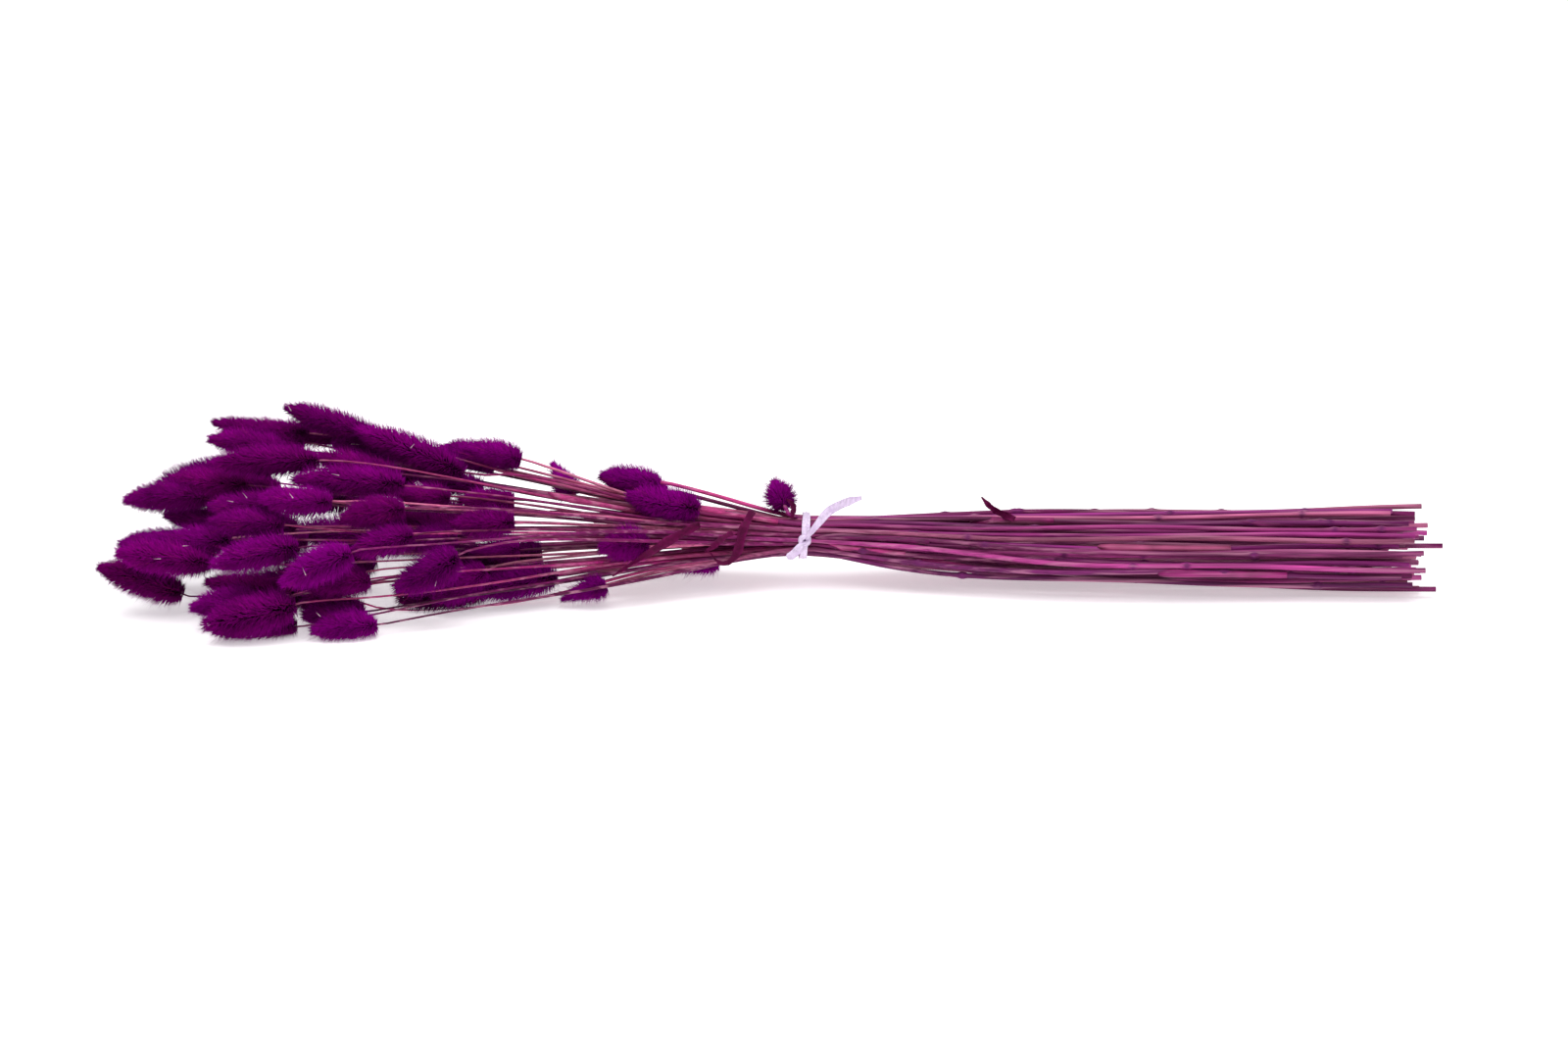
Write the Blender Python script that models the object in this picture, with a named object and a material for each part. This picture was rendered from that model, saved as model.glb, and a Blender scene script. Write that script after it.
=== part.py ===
"""A bundle of dried bunny tail grass, dyed purple, lying on a table and tied once round its stems.

Metres, +Z up, with the origin on the table under the middle of the bundle. The stems run along X, the
heads point to -X and the cut ends to +X. The camera of the picture looks along +Y, a little downwards.
Lengths inside the layout are millimetres, and the meshes are scaled to metres as they are made.
"""

import math
from collections import namedtuple

import bmesh
import bpy
import numpy as np
from mathutils import Matrix

MM = 0.001

# How the picture sees the bundle
MM_PER_PIXEL = 0.45
CENTRE_COLUMN = 800
CENTRE_ROW = 531
ORIGIN_COLUMN = 795.5
TABLE_ROW = 595
CAMERA_TILT = math.radians(17)
CAMERA_DISTANCE = 2200.0

# The tie and the stems in it
TIE_COLUMN = 821
TIE_HEIGHT = 23.0
WAIST_HALF_DEPTH = 13.2
WAIST_HALF_HEIGHT = 9.4
STEM_PITCH = 2.2
SLOTS_EACH_WAY = 10
SORTING_ROWS = 4
LEAST_SAVING = 1e-9
TIE_HALF_LENGTH = 5.0
PRESSED_LENGTH = 3.0
WEB_HALF_HEIGHT = 0.3

# A stem's radius grows from its head to its cut end: at these distances from the tie
STEM_TIE_RADIUS = 1.0
RADIUS_DISTANCES = (-300.0, -90.0, -6.0, 6.0, 60.0, 290.0)
STEM_RADII = (0.62, 0.8, STEM_TIE_RADIUS, STEM_TIE_RADIUS, 1.1, 1.18)
STEM_SIDES = 4
STEM_TURN = 0.3
STEMS_WITHOUT_HEAD = 4
HEADLESS_FIRST = (560, 520, -10.0)
HEADLESS_STEP = (45, 14, 8.0)
KNUCKLE_SWELL = 1.35
KNUCKLE_HALF_LENGTH = 2.6
KNUCKLE_COLUMNS = (1000, 1400)
KNUCKLE_SHARE = 0.25

# Where a stem has its rings, measured from the tie
UPPER_STATIONS = (-190.0, -125.0, -60.0)
LOWER_STATIONS = (45.0, 130.0)
STATION_CLEAR = 12.5
STEEPEST = 0.5
LEAST_FORWARD = 0.3

# The cut half of the bundle: half depth, half height and middle height at each distance from the tie
CUT_DISTANCES = (0.0, 26.0, 54.0, 80.0, 125.0, 170.0, 290.0)
CUT_HALF_DEPTHS = (13.2, 16.0, 23.0, 29.0, 35.0, 38.0, 40.0)
CUT_HALF_HEIGHTS = (9.4, 10.5, 14.0, 15.8, 17.0, 18.0, 18.2)
CUT_MIDDLES = (23.0, 21.8, 19.6, 18.8, 18.0, 17.6, 17.4)
SIDEWAYS_DRIFT = 0.06
UPWARD_DRIFT = 0.08
CUT_COLUMNS = (1418, 1450)
LONG_CUT_COLUMN = 1474
LONG_CUT_SHARE = 0.08

# The fan of heads is a low heap: its height and half depth at each column of the picture
FAN_COLUMNS = (100, 150, 220, 300, 400, 460, 530, 600, 660, 720, 800)
FAN_HEIGHTS = (40, 54, 76, 82, 76, 68, 60, 54, 50, 44, 36)
FAN_HALF_DEPTHS = (38, 56, 86, 90, 80, 64, 52, 40, 32, 24, 18)
LAYER_SETBACK = 13.0
HEAD_SPREAD = 0.6
LEAST_RUN = 30.0
ON_TABLE = 9
TABLE_LIFT = 1.5

# A head's outer shape
HEAD_SIDES = 8
HEAD_RINGS = 6
WIDER = 1.2
SHORTEST_HEAD = 19.0
TUFT_RISE = 0.9
TUFT_REACH = 2.4
TIP_ROOM = 0.8
LEAST_TUFT_RADIUS = 0.8
WIDEST_SHIFT = 0.8
SIDE_ROUNDNESS = 2.6
END_ROUNDNESS = 0.55
CORE_BASE = 0.8
CORE_TIP = 0.8
NECK_LENGTH = 5.0
HIDDEN_HEADS = 18
HIDDEN_COLUMNS = (170, 525)
FAR_ON_TABLE = ((255, 52.0), (335, 60.0), (430, 44.0))
HIDDEN_HEAD_LENGTHS = (38.0, 47.0)
HIDDEN_HEAD_WIDTHS = (11.0, 13.5)
HIDDEN_PLACES = ((0.618, 0.3), (0.755, 0.1))
HIDDEN_NEAR_INSET = (0.6, 0.9)
HIDDEN_FAR_INSET = (0.3, 0.62)
HIDDEN_HEIGHT = 0.75
HIDDEN_SPREAD = 0.8
HIDDEN_RISE = (-0.22, 0.12)
HIDDEN_SIDES = 6
HIDDEN_RINGS = 5

# Heads that lie side by side are joined where there are more than the nodes can hold
HEAD_NODES = 49
MOST_IN_GROUP = 3
FUSED_DEPTH = 3.2
STEM_ROOM = 4.0
SEEN_PAIR_COST = 2.0
NEAR_TIP_COST = 2.0
ALONG_HEAD = (0.05, 0.85)
FARTHEST_PAIR = 16.0

# How the stems and heads are moved apart
GAP = 0.3
HEAD_GAP = 0.5
STEM_GAP = 0.15
STEM_SKIN = 0.1
STEM_DENT = 0.12
TUFT_ROOM = 0.4
KNUCKLE_ROOM = 0.8
CRUMB_SIZE = 8.0
FAR_AWAY = 1000.0
STRAIGHT_WITHIN = 0.08
HEAD_HOLD = 1.0
SEEN_FREEDOM = (0.15, 0.8, 0.4)
HIDDEN_FREEDOM = (0.5, 1.0, 0.9)
TABLE_FREEDOM = (0.2, 0.6, 0.0)
NEARBY = 4.0
NEIGHBOURS_AGAIN = 8
PUSH_SHARE = 0.45
PUSH_WHOLE = 0.35
PUSH_CALM = 0.6
PULLS = 3
FIRST_ROUNDS = 100
FIRST_HOLD = 0.04
LATER_ROUNDS = 56
LATER_HOLDS = (0.03, 0.015, 0.007, 0.004)
TABLE_PRESS = 1.0
TABLE_BLOCK_HALF = 40.0
SEED = 11

# The strip that ties the stems, with its knot on the near side
STRIP_WIDTH = 3.4
STRIP_THICKNESS = 0.8
BAND_STEPS = 20
BAND_WAVE = 0.9
KNOT_HALF_SIZES = (2.6, 1.7, 2.2)
KNOT_STAND_OFF = 0.9
KNOT_RISE = 2.3
KNOT_SIDES = 8
KNOT_LEVELS = (-0.72, 0.0, 0.72)
STRIP_TIP_SHARE = 0.3
LONG_END = ((822, 550, -15.6), (830, 541, -17.5), (837, 532, -18.0), (844, 522, -17.0),
            (855, 515, -15.0), (868, 510, -13.0), (879, 508, -12.0))
SHORT_END = ((820, 553, -15.6), (815, 560, -17.0), (809, 565, -17.5), (803, 569, -17.0))

# The dried leaves: width, and the route of the middle from where it rests on the stems to its tip
LEAF_THICKNESS = 0.7
LEAF_REACH = 2.5
LEAF_GAP = 0.4
LEAF_SLIDE = (-3.0, 6.0, 0.1)
NEAREST_DEPTH = -90.0
DEEPEST_DEPTH = 60.0
DEPTH_STEP = 0.25
LEAF_END_WIDTH = 0.7
LEAF_TAPER = 0.75
Leaf = namedtuple("Leaf", "name width route")
LEAVES = (
    Leaf("leaf_hanging", 4.4, ((714, 535), (703, 540), (690, 547), (680, 553), (670, 560),
                               (660, 566), (650, 572), (638, 580), (625, 588))),
    Leaf("leaf_crown", 4.6, ((768, 522), (763, 531), (758, 541), (756, 551), (753, 561),
                             (748, 570), (740, 575), (732, 573), (725, 564))),
    Leaf("leaf_folded", 3.6, ((748, 544), (740, 548), (733, 553), (726, 559), (719, 563))),
    Leaf("leaf_by_tuft", 3.0, ((808, 529), (810, 523), (810, 517), (807, 512), (802, 509))),
    Leaf("leaf_low", 4.0, ((1036, 530), (1026, 525), (1016, 520), (1008, 514), (1002, 507))),
)

Seen = namedtuple("Seen", "tip_column tip_row base_column base_row width layer")

# The heads that show, from tip to base, with their width in pixels. Layer 0 lies in front, 2 farthest in,
# and ON_TABLE marks the heads that rest on the table.
SEEN_HEADS = (
    Seen(219, 431, 315, 440, 17, 1),
    Seen(215, 448, 288, 457, 18, 1),
    Seen(240, 447, 310, 453, 17, 2),
    Seen(255, 438, 350, 450, 16, 2),
    Seen(293, 417, 385, 450, 21, 0),
    Seen(363, 438, 475, 473, 25, 0),
    Seen(343, 453, 407, 462, 18, 2),
    Seen(452, 458, 504, 479, 20, 1),
    Seen(478, 461, 531, 470, 22, 0),
    Seen(215, 473, 325, 470, 25, 0),
    Seen(323, 463, 409, 472, 20, 1),
    Seen(177, 488, 252, 493, 22, 1),
    Seen(226, 493, 285, 499, 18, 2),
    Seen(300, 490, 412, 494, 22, 0),
    Seen(420, 486, 494, 489, 17, 1),
    Seen(129, 511, 214, 510, 24, 0),
    Seen(170, 524, 235, 533, 18, 2),
    Seen(216, 517, 290, 508, 19, 1),
    Seen(217, 531, 289, 533, 21, 0),
    Seen(267, 511, 338, 512, 21, 0),
    Seen(350, 528, 412, 520, 22, 0),
    Seen(405, 505, 458, 512, 19, 1),
    Seen(472, 510, 524, 509, 18, 1),
    Seen(464, 537, 524, 530, 22, 0),
    Seen(125, 553, 205, 550, 19, 1),
    Seen(121, 565, 215, 575, 25, 0),
    Seen(153, 562, 236, 551, 24, 1),
    Seen(208, 590, 290, 598, 22, 2),
    Seen(217, 577, 304, 563, 26, 0),
    Seen(360, 563, 421, 549, 25, 0),
    Seen(288, 592, 358, 564, 28, 0),
    Seen(102, 578, 186, 606, 28, 0),
    Seen(197, 620, 262, 612, 24, 1),
    Seen(209, 638, 301, 617, 32, 0),
    Seen(220, 645, 302, 636, 22, ON_TABLE),
    Seen(311, 643, 371, 611, 28, ON_TABLE),
    Seen(320, 645, 384, 636, 23, ON_TABLE),
    Seen(320, 600, 377, 592, 21, 1),
    Seen(300, 604, 352, 622, 21, 2),
    Seen(405, 601, 467, 568, 29, 0),
    Seen(447, 613, 493, 578, 24, 1),
    Seen(410, 552, 466, 545, 21, 2),
    Seen(480, 607, 569, 591, 25, 1),
    Seen(485, 568, 529, 562, 20, 2),
    Seen(577, 599, 617, 588, 21, 0),
    Seen(615, 562, 661, 550, 26, 0),
    Seen(614, 491, 673, 496, 21, 1),
    Seen(628, 501, 680, 500, 18, 2),
    Seen(642, 508, 713, 523, 27, 0),
    Seen(570, 483, 578, 501, 24, 1),
    Seen(692, 578, 732, 571, 13, 1),
    Seen(791, 491, 798, 521, 28, 0),
)

Plants = namedtuple("Plants", "bases tips radii slots cut_ends")
Rods = namedtuple("Rods", "starts ends radii plants is_head")


def seen_at(column, row, depth):
    """The point that the picture shows at this pixel, at this depth along Y."""
    sine = math.sin(CAMERA_TILT)
    cosine = math.cos(CAMERA_TILT)
    target = np.array([
        (CENTRE_COLUMN - ORIGIN_COLUMN) * MM_PER_PIXEL,
        0.0,
        (TABLE_ROW - CENTRE_ROW) * MM_PER_PIXEL / cosine,
    ])
    forward = np.array([0.0, cosine, -sine])
    upward = np.array([0.0, sine, cosine])
    camera = target - CAMERA_DISTANCE * forward
    across = (column - CENTRE_COLUMN) * MM_PER_PIXEL
    above = (CENTRE_ROW - row) * MM_PER_PIXEL
    ray = CAMERA_DISTANCE * forward + above * upward + np.array([across, 0.0, 0.0])
    return camera + ray * (depth - camera[1]) / ray[1]


def along_x(column):
    return (column - ORIGIN_COLUMN) * MM_PER_PIXEL


def near_side_depth(column, row):
    """The depth of the heap's near side where the picture shows it at this pixel."""
    height = np.interp(column, FAN_COLUMNS, FAN_HEIGHTS)
    half_depth = np.interp(column, FAN_COLUMNS, FAN_HALF_DEPTHS)
    for depth in np.arange(-half_depth, half_depth, 1.0):
        level = np.clip(seen_at(column, row, depth)[2] / height, 0.0, 1.0)
        if depth >= -half_depth * math.sqrt(1 - level**2):
            return depth
    return 0.0


def table_depth(column, row, height):
    """The depth at which the line of sight through this pixel is this high above the table."""
    near = seen_at(column, row, 0.0)
    far = seen_at(column, row, 1.0)
    return (height - near[2]) / (far[2] - near[2])


def seen_plant(head):
    """Base, tip and radius of a head that shows, turned in depth as the fan spreads from the tie."""
    column = (head.tip_column + head.base_column) / 2
    row = (head.tip_row + head.base_row) / 2
    radius = head.width * WIDER * MM_PER_PIXEL / 2
    if head.layer == ON_TABLE:
        depth = table_depth(column, row, radius - TABLE_PRESS)
    else:
        depth = near_side_depth(column, row) + head.layer * LAYER_SETBACK
    spread = HEAD_SPREAD * depth / (column - TIE_COLUMN) / MM_PER_PIXEL
    half = (head.base_column - head.tip_column) / 2 * MM_PER_PIXEL
    base = seen_at(head.base_column, head.base_row, depth + spread * half)
    tip = seen_at(head.tip_column, head.tip_row, depth - spread * half)
    shown = np.linalg.norm(tip - base)
    if shown < SHORTEST_HEAD:
        # A head that looks shorter than any real one points away from the camera.
        away = math.sqrt(SHORTEST_HEAD**2 - shown**2)
        tip = seen_at(head.tip_column, head.tip_row, depth + away)
    if head.layer == ON_TABLE:
        base[2] = radius - TABLE_PRESS
        tip[2] = radius - TABLE_PRESS
    return base, tip, radius


def hidden_plant(index, draw):
    """A head inside the fan or on its far side, spread evenly by two golden sequences."""
    along, around = ((index * step + first) % 1 for step, first in HIDDEN_PLACES)
    column = HIDDEN_COLUMNS[0] + along * (HIDDEN_COLUMNS[1] - HIDDEN_COLUMNS[0])
    height = np.interp(column, FAN_COLUMNS, FAN_HEIGHTS)
    half_depth = np.interp(column, FAN_COLUMNS, FAN_HALF_DEPTHS)
    angle = math.pi * around
    # On the near side it lies inside the heads that show, and on the far side it may lie farther out.
    inset = draw.uniform(*(HIDDEN_NEAR_INSET if angle < math.pi / 2 else HIDDEN_FAR_INSET))
    middle = np.array([
        along_x(column),
        half_depth * inset * math.cos(angle),
        height * inset * HIDDEN_HEIGHT * math.sin(angle),
    ])
    length = draw.uniform(*HIDDEN_HEAD_LENGTHS)
    radius = draw.uniform(*HIDDEN_HEAD_WIDTHS) / 2
    rise = draw.uniform(*HIDDEN_RISE)
    middle[2] = max(middle[2], radius)
    if index < len(FAR_ON_TABLE):
        column, depth = FAR_ON_TABLE[index]
        middle = np.array([along_x(column), depth, radius - TABLE_PRESS])
        rise = 0.0
    run = middle[0] - along_x(TIE_COLUMN)
    lean = np.array([-1.0, -HIDDEN_SPREAD * middle[1] / run, rise])
    lean /= np.linalg.norm(lean)
    return middle - lean * length / 2, middle + lean * length / 2, radius


def headless_plant(index):
    """A stem that broke off in the fan, as a base and a tip that lie together and have no size."""
    end = seen_at(*(first + step * index for first, step in zip(HEADLESS_FIRST, HEADLESS_STEP)))
    return end, end - np.array([1.0, 0.0, 0.0]), 0.0


def tie_slots(count):
    """The places of the stems in the tie: the closest packing, in an oval."""
    places = []
    for row in range(-SLOTS_EACH_WAY, SLOTS_EACH_WAY):
        for place in range(-SLOTS_EACH_WAY, SLOTS_EACH_WAY + 1):
            y = (place + 0.5 * (row % 2)) * STEM_PITCH
            z = (row + 0.5) * STEM_PITCH * math.sqrt(3) / 2
            places.append((y, z, row))
    places.sort(key=lambda p: (p[0] / WAIST_HALF_DEPTH) ** 2 + (p[1] / WAIST_HALF_HEIGHT) ** 2)
    return sorted(places[:count], key=lambda p: (p[2], p[0]))


def matched(slots, directions):
    """Gives each direction the slot that keeps the stems from crossing: the least sum of squares."""
    order = np.lexsort((directions[:, 0], np.round(directions[:, 1] * SORTING_ROWS)))
    slot_of = np.empty(len(slots), int)
    slot_of[order] = np.arange(len(slots))
    improved = True
    while improved:
        improved = False
        for i in range(len(slots)):
            own = np.sum((slots[slot_of[i]] - directions[i]) ** 2)
            theirs = np.sum((slots[slot_of] - directions) ** 2, axis=1)
            swapped = np.sum((slots[slot_of] - directions[i]) ** 2, axis=1)
            swapped += np.sum((slots[slot_of[i]] - directions) ** 2, axis=1)
            saving = own + theirs - swapped
            saving[i] = 0.0
            best = int(np.argmax(saving))
            if saving[best] > LEAST_SAVING:
                slot_of[[i, best]] = slot_of[[best, i]]
                improved = True
    return slot_of


def scaled(values):
    return (values - values.mean(axis=0)) / values.std(axis=0)


def cut_end(slot, draw):
    """Where a stem is cut: its place in the tie, spread to the wider bundle."""
    column = draw.uniform(*CUT_COLUMNS)
    if draw.random() < LONG_CUT_SHARE:
        column = draw.uniform(CUT_COLUMNS[1], LONG_CUT_COLUMN)
    return spread_place(slot, along_x(column), draw.normal(0.0, 1.0, 2))


def spread_place(slot, x, drift):
    distance = x - along_x(TIE_COLUMN)
    half_depth = np.interp(distance, CUT_DISTANCES, CUT_HALF_DEPTHS)
    half_height = np.interp(distance, CUT_DISTANCES, CUT_HALF_HEIGHTS)
    middle = np.interp(distance, CUT_DISTANCES, CUT_MIDDLES)
    y = (slot[0] / WAIST_HALF_DEPTH + drift[0] * SIDEWAYS_DRIFT) * half_depth
    z = middle + (slot[1] / WAIST_HALF_HEIGHT + drift[1] * UPWARD_DRIFT) * half_height
    return np.array([x, y, max(z, stem_radius(x))])


def stem_radius(x):
    return np.interp(x - along_x(TIE_COLUMN), RADIUS_DISTANCES, STEM_RADII)


def plants_in_place():
    draw = np.random.default_rng(SEED)
    made = [seen_plant(head) for head in SEEN_HEADS]
    made += [hidden_plant(index, draw) for index in range(HIDDEN_HEADS)]
    made += [headless_plant(index) for index in range(STEMS_WITHOUT_HEAD)]
    bases = np.array([plant[0] for plant in made])
    tips = np.array([plant[1] for plant in made])
    radii = np.array([plant[2] for plant in made])
    run = np.maximum(along_x(TIE_COLUMN) - bases[:, 0], LEAST_RUN)
    directions = np.column_stack([bases[:, 1] / run, (bases[:, 2] - TIE_HEIGHT) / run])
    places = tie_slots(len(made))
    slots = np.array(places)[:, :2]
    slot_of = matched(scaled(slots), scaled(directions))
    ends = np.array([cut_end(slots[slot_of[i]], draw) for i in range(len(made))])
    return Plants(bases, tips, radii, np.array(places)[slot_of], ends)


def hermite(start, end, start_slope, end_slope, x):
    """Height or depth at x on the cubic between two points with given slopes."""
    run = end[0] - start[0]
    t = (x - start[0]) / run
    return (
        (2 * t**3 - 3 * t**2 + 1) * start[1]
        + (t**3 - 2 * t**2 + t) * run * start_slope
        + (3 * t**2 - 2 * t**3) * end[1]
        + (t**3 - t**2) * run * end_slope
    )


def stations_above(base):
    """The distances from the tie at which a stem has points on its way to this head."""
    clear = base[0] + STATION_CLEAR - along_x(TIE_COLUMN)
    return [distance for distance in UPPER_STATIONS if distance > clear]


def upper_route(base, tip, slot, stations):
    """A stem's points from under the head to the tie."""
    tie_x = along_x(TIE_COLUMN)
    in_tie = np.array([tie_x - TIE_HALF_LENGTH, slot[0], TIE_HEIGHT + slot[1]])
    toward = (base - tip) / np.linalg.norm(base - tip)
    points = [base + toward * GAP, base + toward * (GAP + NECK_LENGTH)]
    for distance in stations:
        x = tie_x + distance
        point = [x]
        for axis in (1, 2):
            chord = (in_tie[axis] - base[axis]) / (in_tie[0] - base[0])
            slope = np.clip(toward[axis] / max(toward[0], LEAST_FORWARD), -STEEPEST, STEEPEST)
            start = (base[0], base[axis])
            finish = (in_tie[0], in_tie[axis])
            point.append(hermite(start, finish, 0.5 * slope + 0.5 * chord, 0.5 * chord, x))
        points.append(np.array(point))
    points.append(in_tie)
    return points


def lower_route(slot, end, drift):
    """A stem's points from the tie to where it is cut."""
    tie_x = along_x(TIE_COLUMN)
    points = [np.array([tie_x + TIE_HALF_LENGTH, slot[0], TIE_HEIGHT + slot[1]])]
    for k, distance in enumerate(LOWER_STATIONS):
        points.append(spread_place(slot, tie_x + distance, drift[k]))
    return points + [end]


def closest_on_rods(p, q, r, s):
    """How far along segments p-q and r-s their nearest points lie, from 0 to 1."""
    along = q - p
    other = s - r
    between = p - r
    a = np.sum(along * along, axis=1)
    e = np.sum(other * other, axis=1)
    f = np.sum(other * between, axis=1)
    c = np.sum(along * between, axis=1)
    b = np.sum(along * other, axis=1)
    spread = np.maximum(a * e - b * b, 1e-9)
    on_first = np.clip((b * f - c * e) / spread, 0.0, 1.0)
    on_second = np.clip((b * on_first + f) / e, 0.0, 1.0)
    on_first = np.clip((b * on_second - c) / a, 0.0, 1.0)
    return on_first, on_second


def head_core(base, tip, radius):
    """The two ends of the axis of the round-ended rod that holds a head."""
    axis = (tip - base) / np.linalg.norm(tip - base)
    return base + axis * radius * CORE_BASE, tip - axis * radius * CORE_TIP


class Layout:
    """Every stem and head as rods between points, which are moved until none lies in another."""

    def __init__(self):
        draw = np.random.default_rng(SEED + 1)
        plants = plants_in_place()
        self.plants = plants
        self.heads = [i for i, radius in enumerate(plants.radii) if radius > 0]
        self.points = []
        self.freedom = []
        self.stem_points = []
        self.stations = [stations_above(base) for base in plants.bases]
        self.head_points = {}
        rods = []
        for i, base in enumerate(plants.bases):
            drift = draw.normal(0.0, 1.0, (len(LOWER_STATIONS), 2))
            route = upper_route(base, plants.tips[i], plants.slots[i], self.stations[i])
            route += lower_route(plants.slots[i], plants.cut_ends[i], drift)
            first = len(self.points)
            indices = list(range(first, first + len(route)))
            self.stem_points.append(indices)
            for point in route:
                self.points.append(point)
                in_tie = abs(point[0] - along_x(TIE_COLUMN)) < TIE_HALF_LENGTH + 1
                self.freedom.append((0.0, 0.0, 0.0) if in_tie else (0.0, 1.0, 1.0))
            for a, b in zip(indices[:-1], indices[1:]):
                middle = (route[a - first][0] + route[b - first][0]) / 2
                rods.append((a, b, stem_radius(middle) + STEM_SKIN, i, False))
            if plants.radii[i] > 0:
                low, high = head_core(base, plants.tips[i], plants.radii[i])
                self.points += [low, high]
                on_table = max(low[2], high[2]) < plants.radii[i] + TABLE_LIFT
                free = SEEN_FREEDOM if i < len(SEEN_HEADS) else HIDDEN_FREEDOM
                self.freedom += [TABLE_FREEDOM if on_table else free] * 2
                ends = (len(self.points) - 2, len(self.points) - 1)
                self.head_points[i] = ends
                rods.append((*ends, plants.radii[i], i, True))
        self.points = np.array(self.points)
        self.rest = self.points.copy()
        self.freedom = np.array(self.freedom)
        starts, ends, radii, owners, is_head = zip(*rods)
        self.rods = Rods(*(np.array(v) for v in (starts, ends, radii, owners, is_head)))
        self.partners = set()
        self.groups = np.arange(len(self.rods.starts))
        count = len(plants.radii)
        self.turns = math.pi / STEM_SIDES + draw.uniform(-STEM_TURN, STEM_TURN, count)
        self.knuckles = along_x(draw.uniform(*KNUCKLE_COLUMNS, count))
        self.knuckles[draw.random(count) > KNUCKLE_SHARE] = FAR_AWAY

    def nearby_pairs(self):
        """The pairs of rods that may meet, without those of one plant or of one group of heads."""
        rods = self.rods
        middles = (self.points[rods.starts] + self.points[rods.ends]) / 2
        halves = np.linalg.norm(self.points[rods.starts] - self.points[rods.ends], axis=1) / 2
        first, second = np.triu_indices(len(rods.starts), 1)
        reach = halves[first] + halves[second] + rods.radii[first] + rods.radii[second]
        near = np.linalg.norm(middles[first] - middles[second], axis=1) < reach + NEARBY
        near &= rods.plants[first] != rods.plants[second]
        near &= self.groups[first] != self.groups[second]
        return first[near], second[near]

    def room_between(self, first, second):
        """The gap to keep between the surfaces of each pair of rods."""
        some_head = self.rods.is_head[first] | self.rods.is_head[second]
        both_heads = self.rods.is_head[first] & self.rods.is_head[second]
        return np.where(both_heads, HEAD_GAP, np.where(some_head, GAP, STEM_GAP))

    def radii_at(self, rods, places):
        """The radius of each rod at a place on it: a stem's grows from its head to its cut."""
        return np.where(self.rods.is_head[rods], self.rods.radii[rods], stem_radius(places[:, 0]))

    def separate(self, first, second, wanted, pull):
        """Moves each pair of rods to its wanted gap or, with pull set, its wanted distance."""
        rods = self.rods
        p, q = self.points[rods.starts[first]], self.points[rods.ends[first]]
        r, s = self.points[rods.starts[second]], self.points[rods.ends[second]]
        on_first, on_second = closest_on_rods(p, q, r, s)
        here = p + (q - p) * on_first[:, None]
        there = r + (s - r) * on_second[:, None]
        gap = here - there
        distance = np.maximum(np.linalg.norm(gap, axis=1), 1e-6)
        if not pull:
            wanted = wanted + self.radii_at(first, here) + self.radii_at(second, there)
        short = wanted - distance
        if not pull:
            short = np.maximum(short, 0.0)
        moved = short > 1e-6 if not pull else np.ones(len(short), bool)
        push = (gap / distance[:, None] * short[:, None] * PUSH_SHARE)[moved]
        weights = (
            (rods.starts[first], 1 - on_first, 1.0),
            (rods.ends[first], on_first, 1.0),
            (rods.starts[second], 1 - on_second, -1.0),
            (rods.ends[second], on_second, -1.0),
        )
        total = np.zeros_like(self.points)
        count = np.zeros(len(self.points))
        for index, weight, sign in weights:
            # A rod that is pushed near one end turns, so the share grows towards the nearer end.
            share = PUSH_WHOLE + (1 - PUSH_WHOLE) * weight[moved]
            np.add.at(total, index[moved], sign * push * share[:, None])
            np.add.at(count, index[moved], 1.0)
        self.points += total / np.maximum(count, 1.0)[:, None] ** PUSH_CALM * self.freedom

    def tidy_up(self, hold):
        """Keeps each head's length, each stem's top at its head, and everything above the table."""
        for i, (low, high) in self.head_points.items():
            middle = (self.points[low] + self.points[high]) / 2
            axis = self.points[high] - self.points[low]
            length = np.linalg.norm(self.rest[high] - self.rest[low])
            axis *= length / max(np.linalg.norm(axis), 1e-6)
            lowest = self.plants.radii[i] - TABLE_PRESS
            self.points[low] = middle - axis / 2
            self.points[high] = middle + axis / 2
            for end in (low, high):
                self.points[end] += (self.rest[end] - self.points[end]) * hold * HEAD_HOLD
            self.points[low][2] = max(self.points[low][2], lowest)
            self.points[high][2] = max(self.points[high][2], lowest)
            outward = axis / length
            back = self.plants.radii[i] * CORE_BASE + GAP
            self.points[self.stem_points[i][0]] = self.points[low] - outward * back
            self.points[self.stem_points[i][1]] = self.points[low] - outward * (back + NECK_LENGTH)
        for indices in self.stem_points:
            for index in indices[2:]:
                point = self.points[index]
                point += (self.rest[index] - point) * hold * self.freedom[index]
                point[2] = max(point[2], stem_radius(point[0]) - STEM_SKIN)

    def follow_heads(self):
        """Redraws the smooth way of each stem to where its head now lies."""
        for i in self.heads:
            base, tip, _ = self.head(i)
            route = upper_route(base, tip, self.plants.slots[i], self.stations[i])
            self.rest[self.stem_points[i][:len(route)]] = route

    def settle(self, rounds, hold):
        """Moves apart what overlaps, while a hold draws everything back to its own smooth place."""
        for turn in range(rounds):
            if turn % NEIGHBOURS_AGAIN == 0:
                if hold > 0:
                    self.follow_heads()
                first, second = self.nearby_pairs()
                room = self.room_between(first, second)
            self.separate(first, second, room, False)
            for _ in range(PULLS if self.partners else 0):
                self.draw_together()
            self.tidy_up(hold)

    def draw_together(self):
        """Brings the heads that are joined side by side to where they reach into each other."""
        first, second = np.array(sorted(self.partners)).T
        self.separate(first, second, self.fused_distance(first, second), True)

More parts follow.
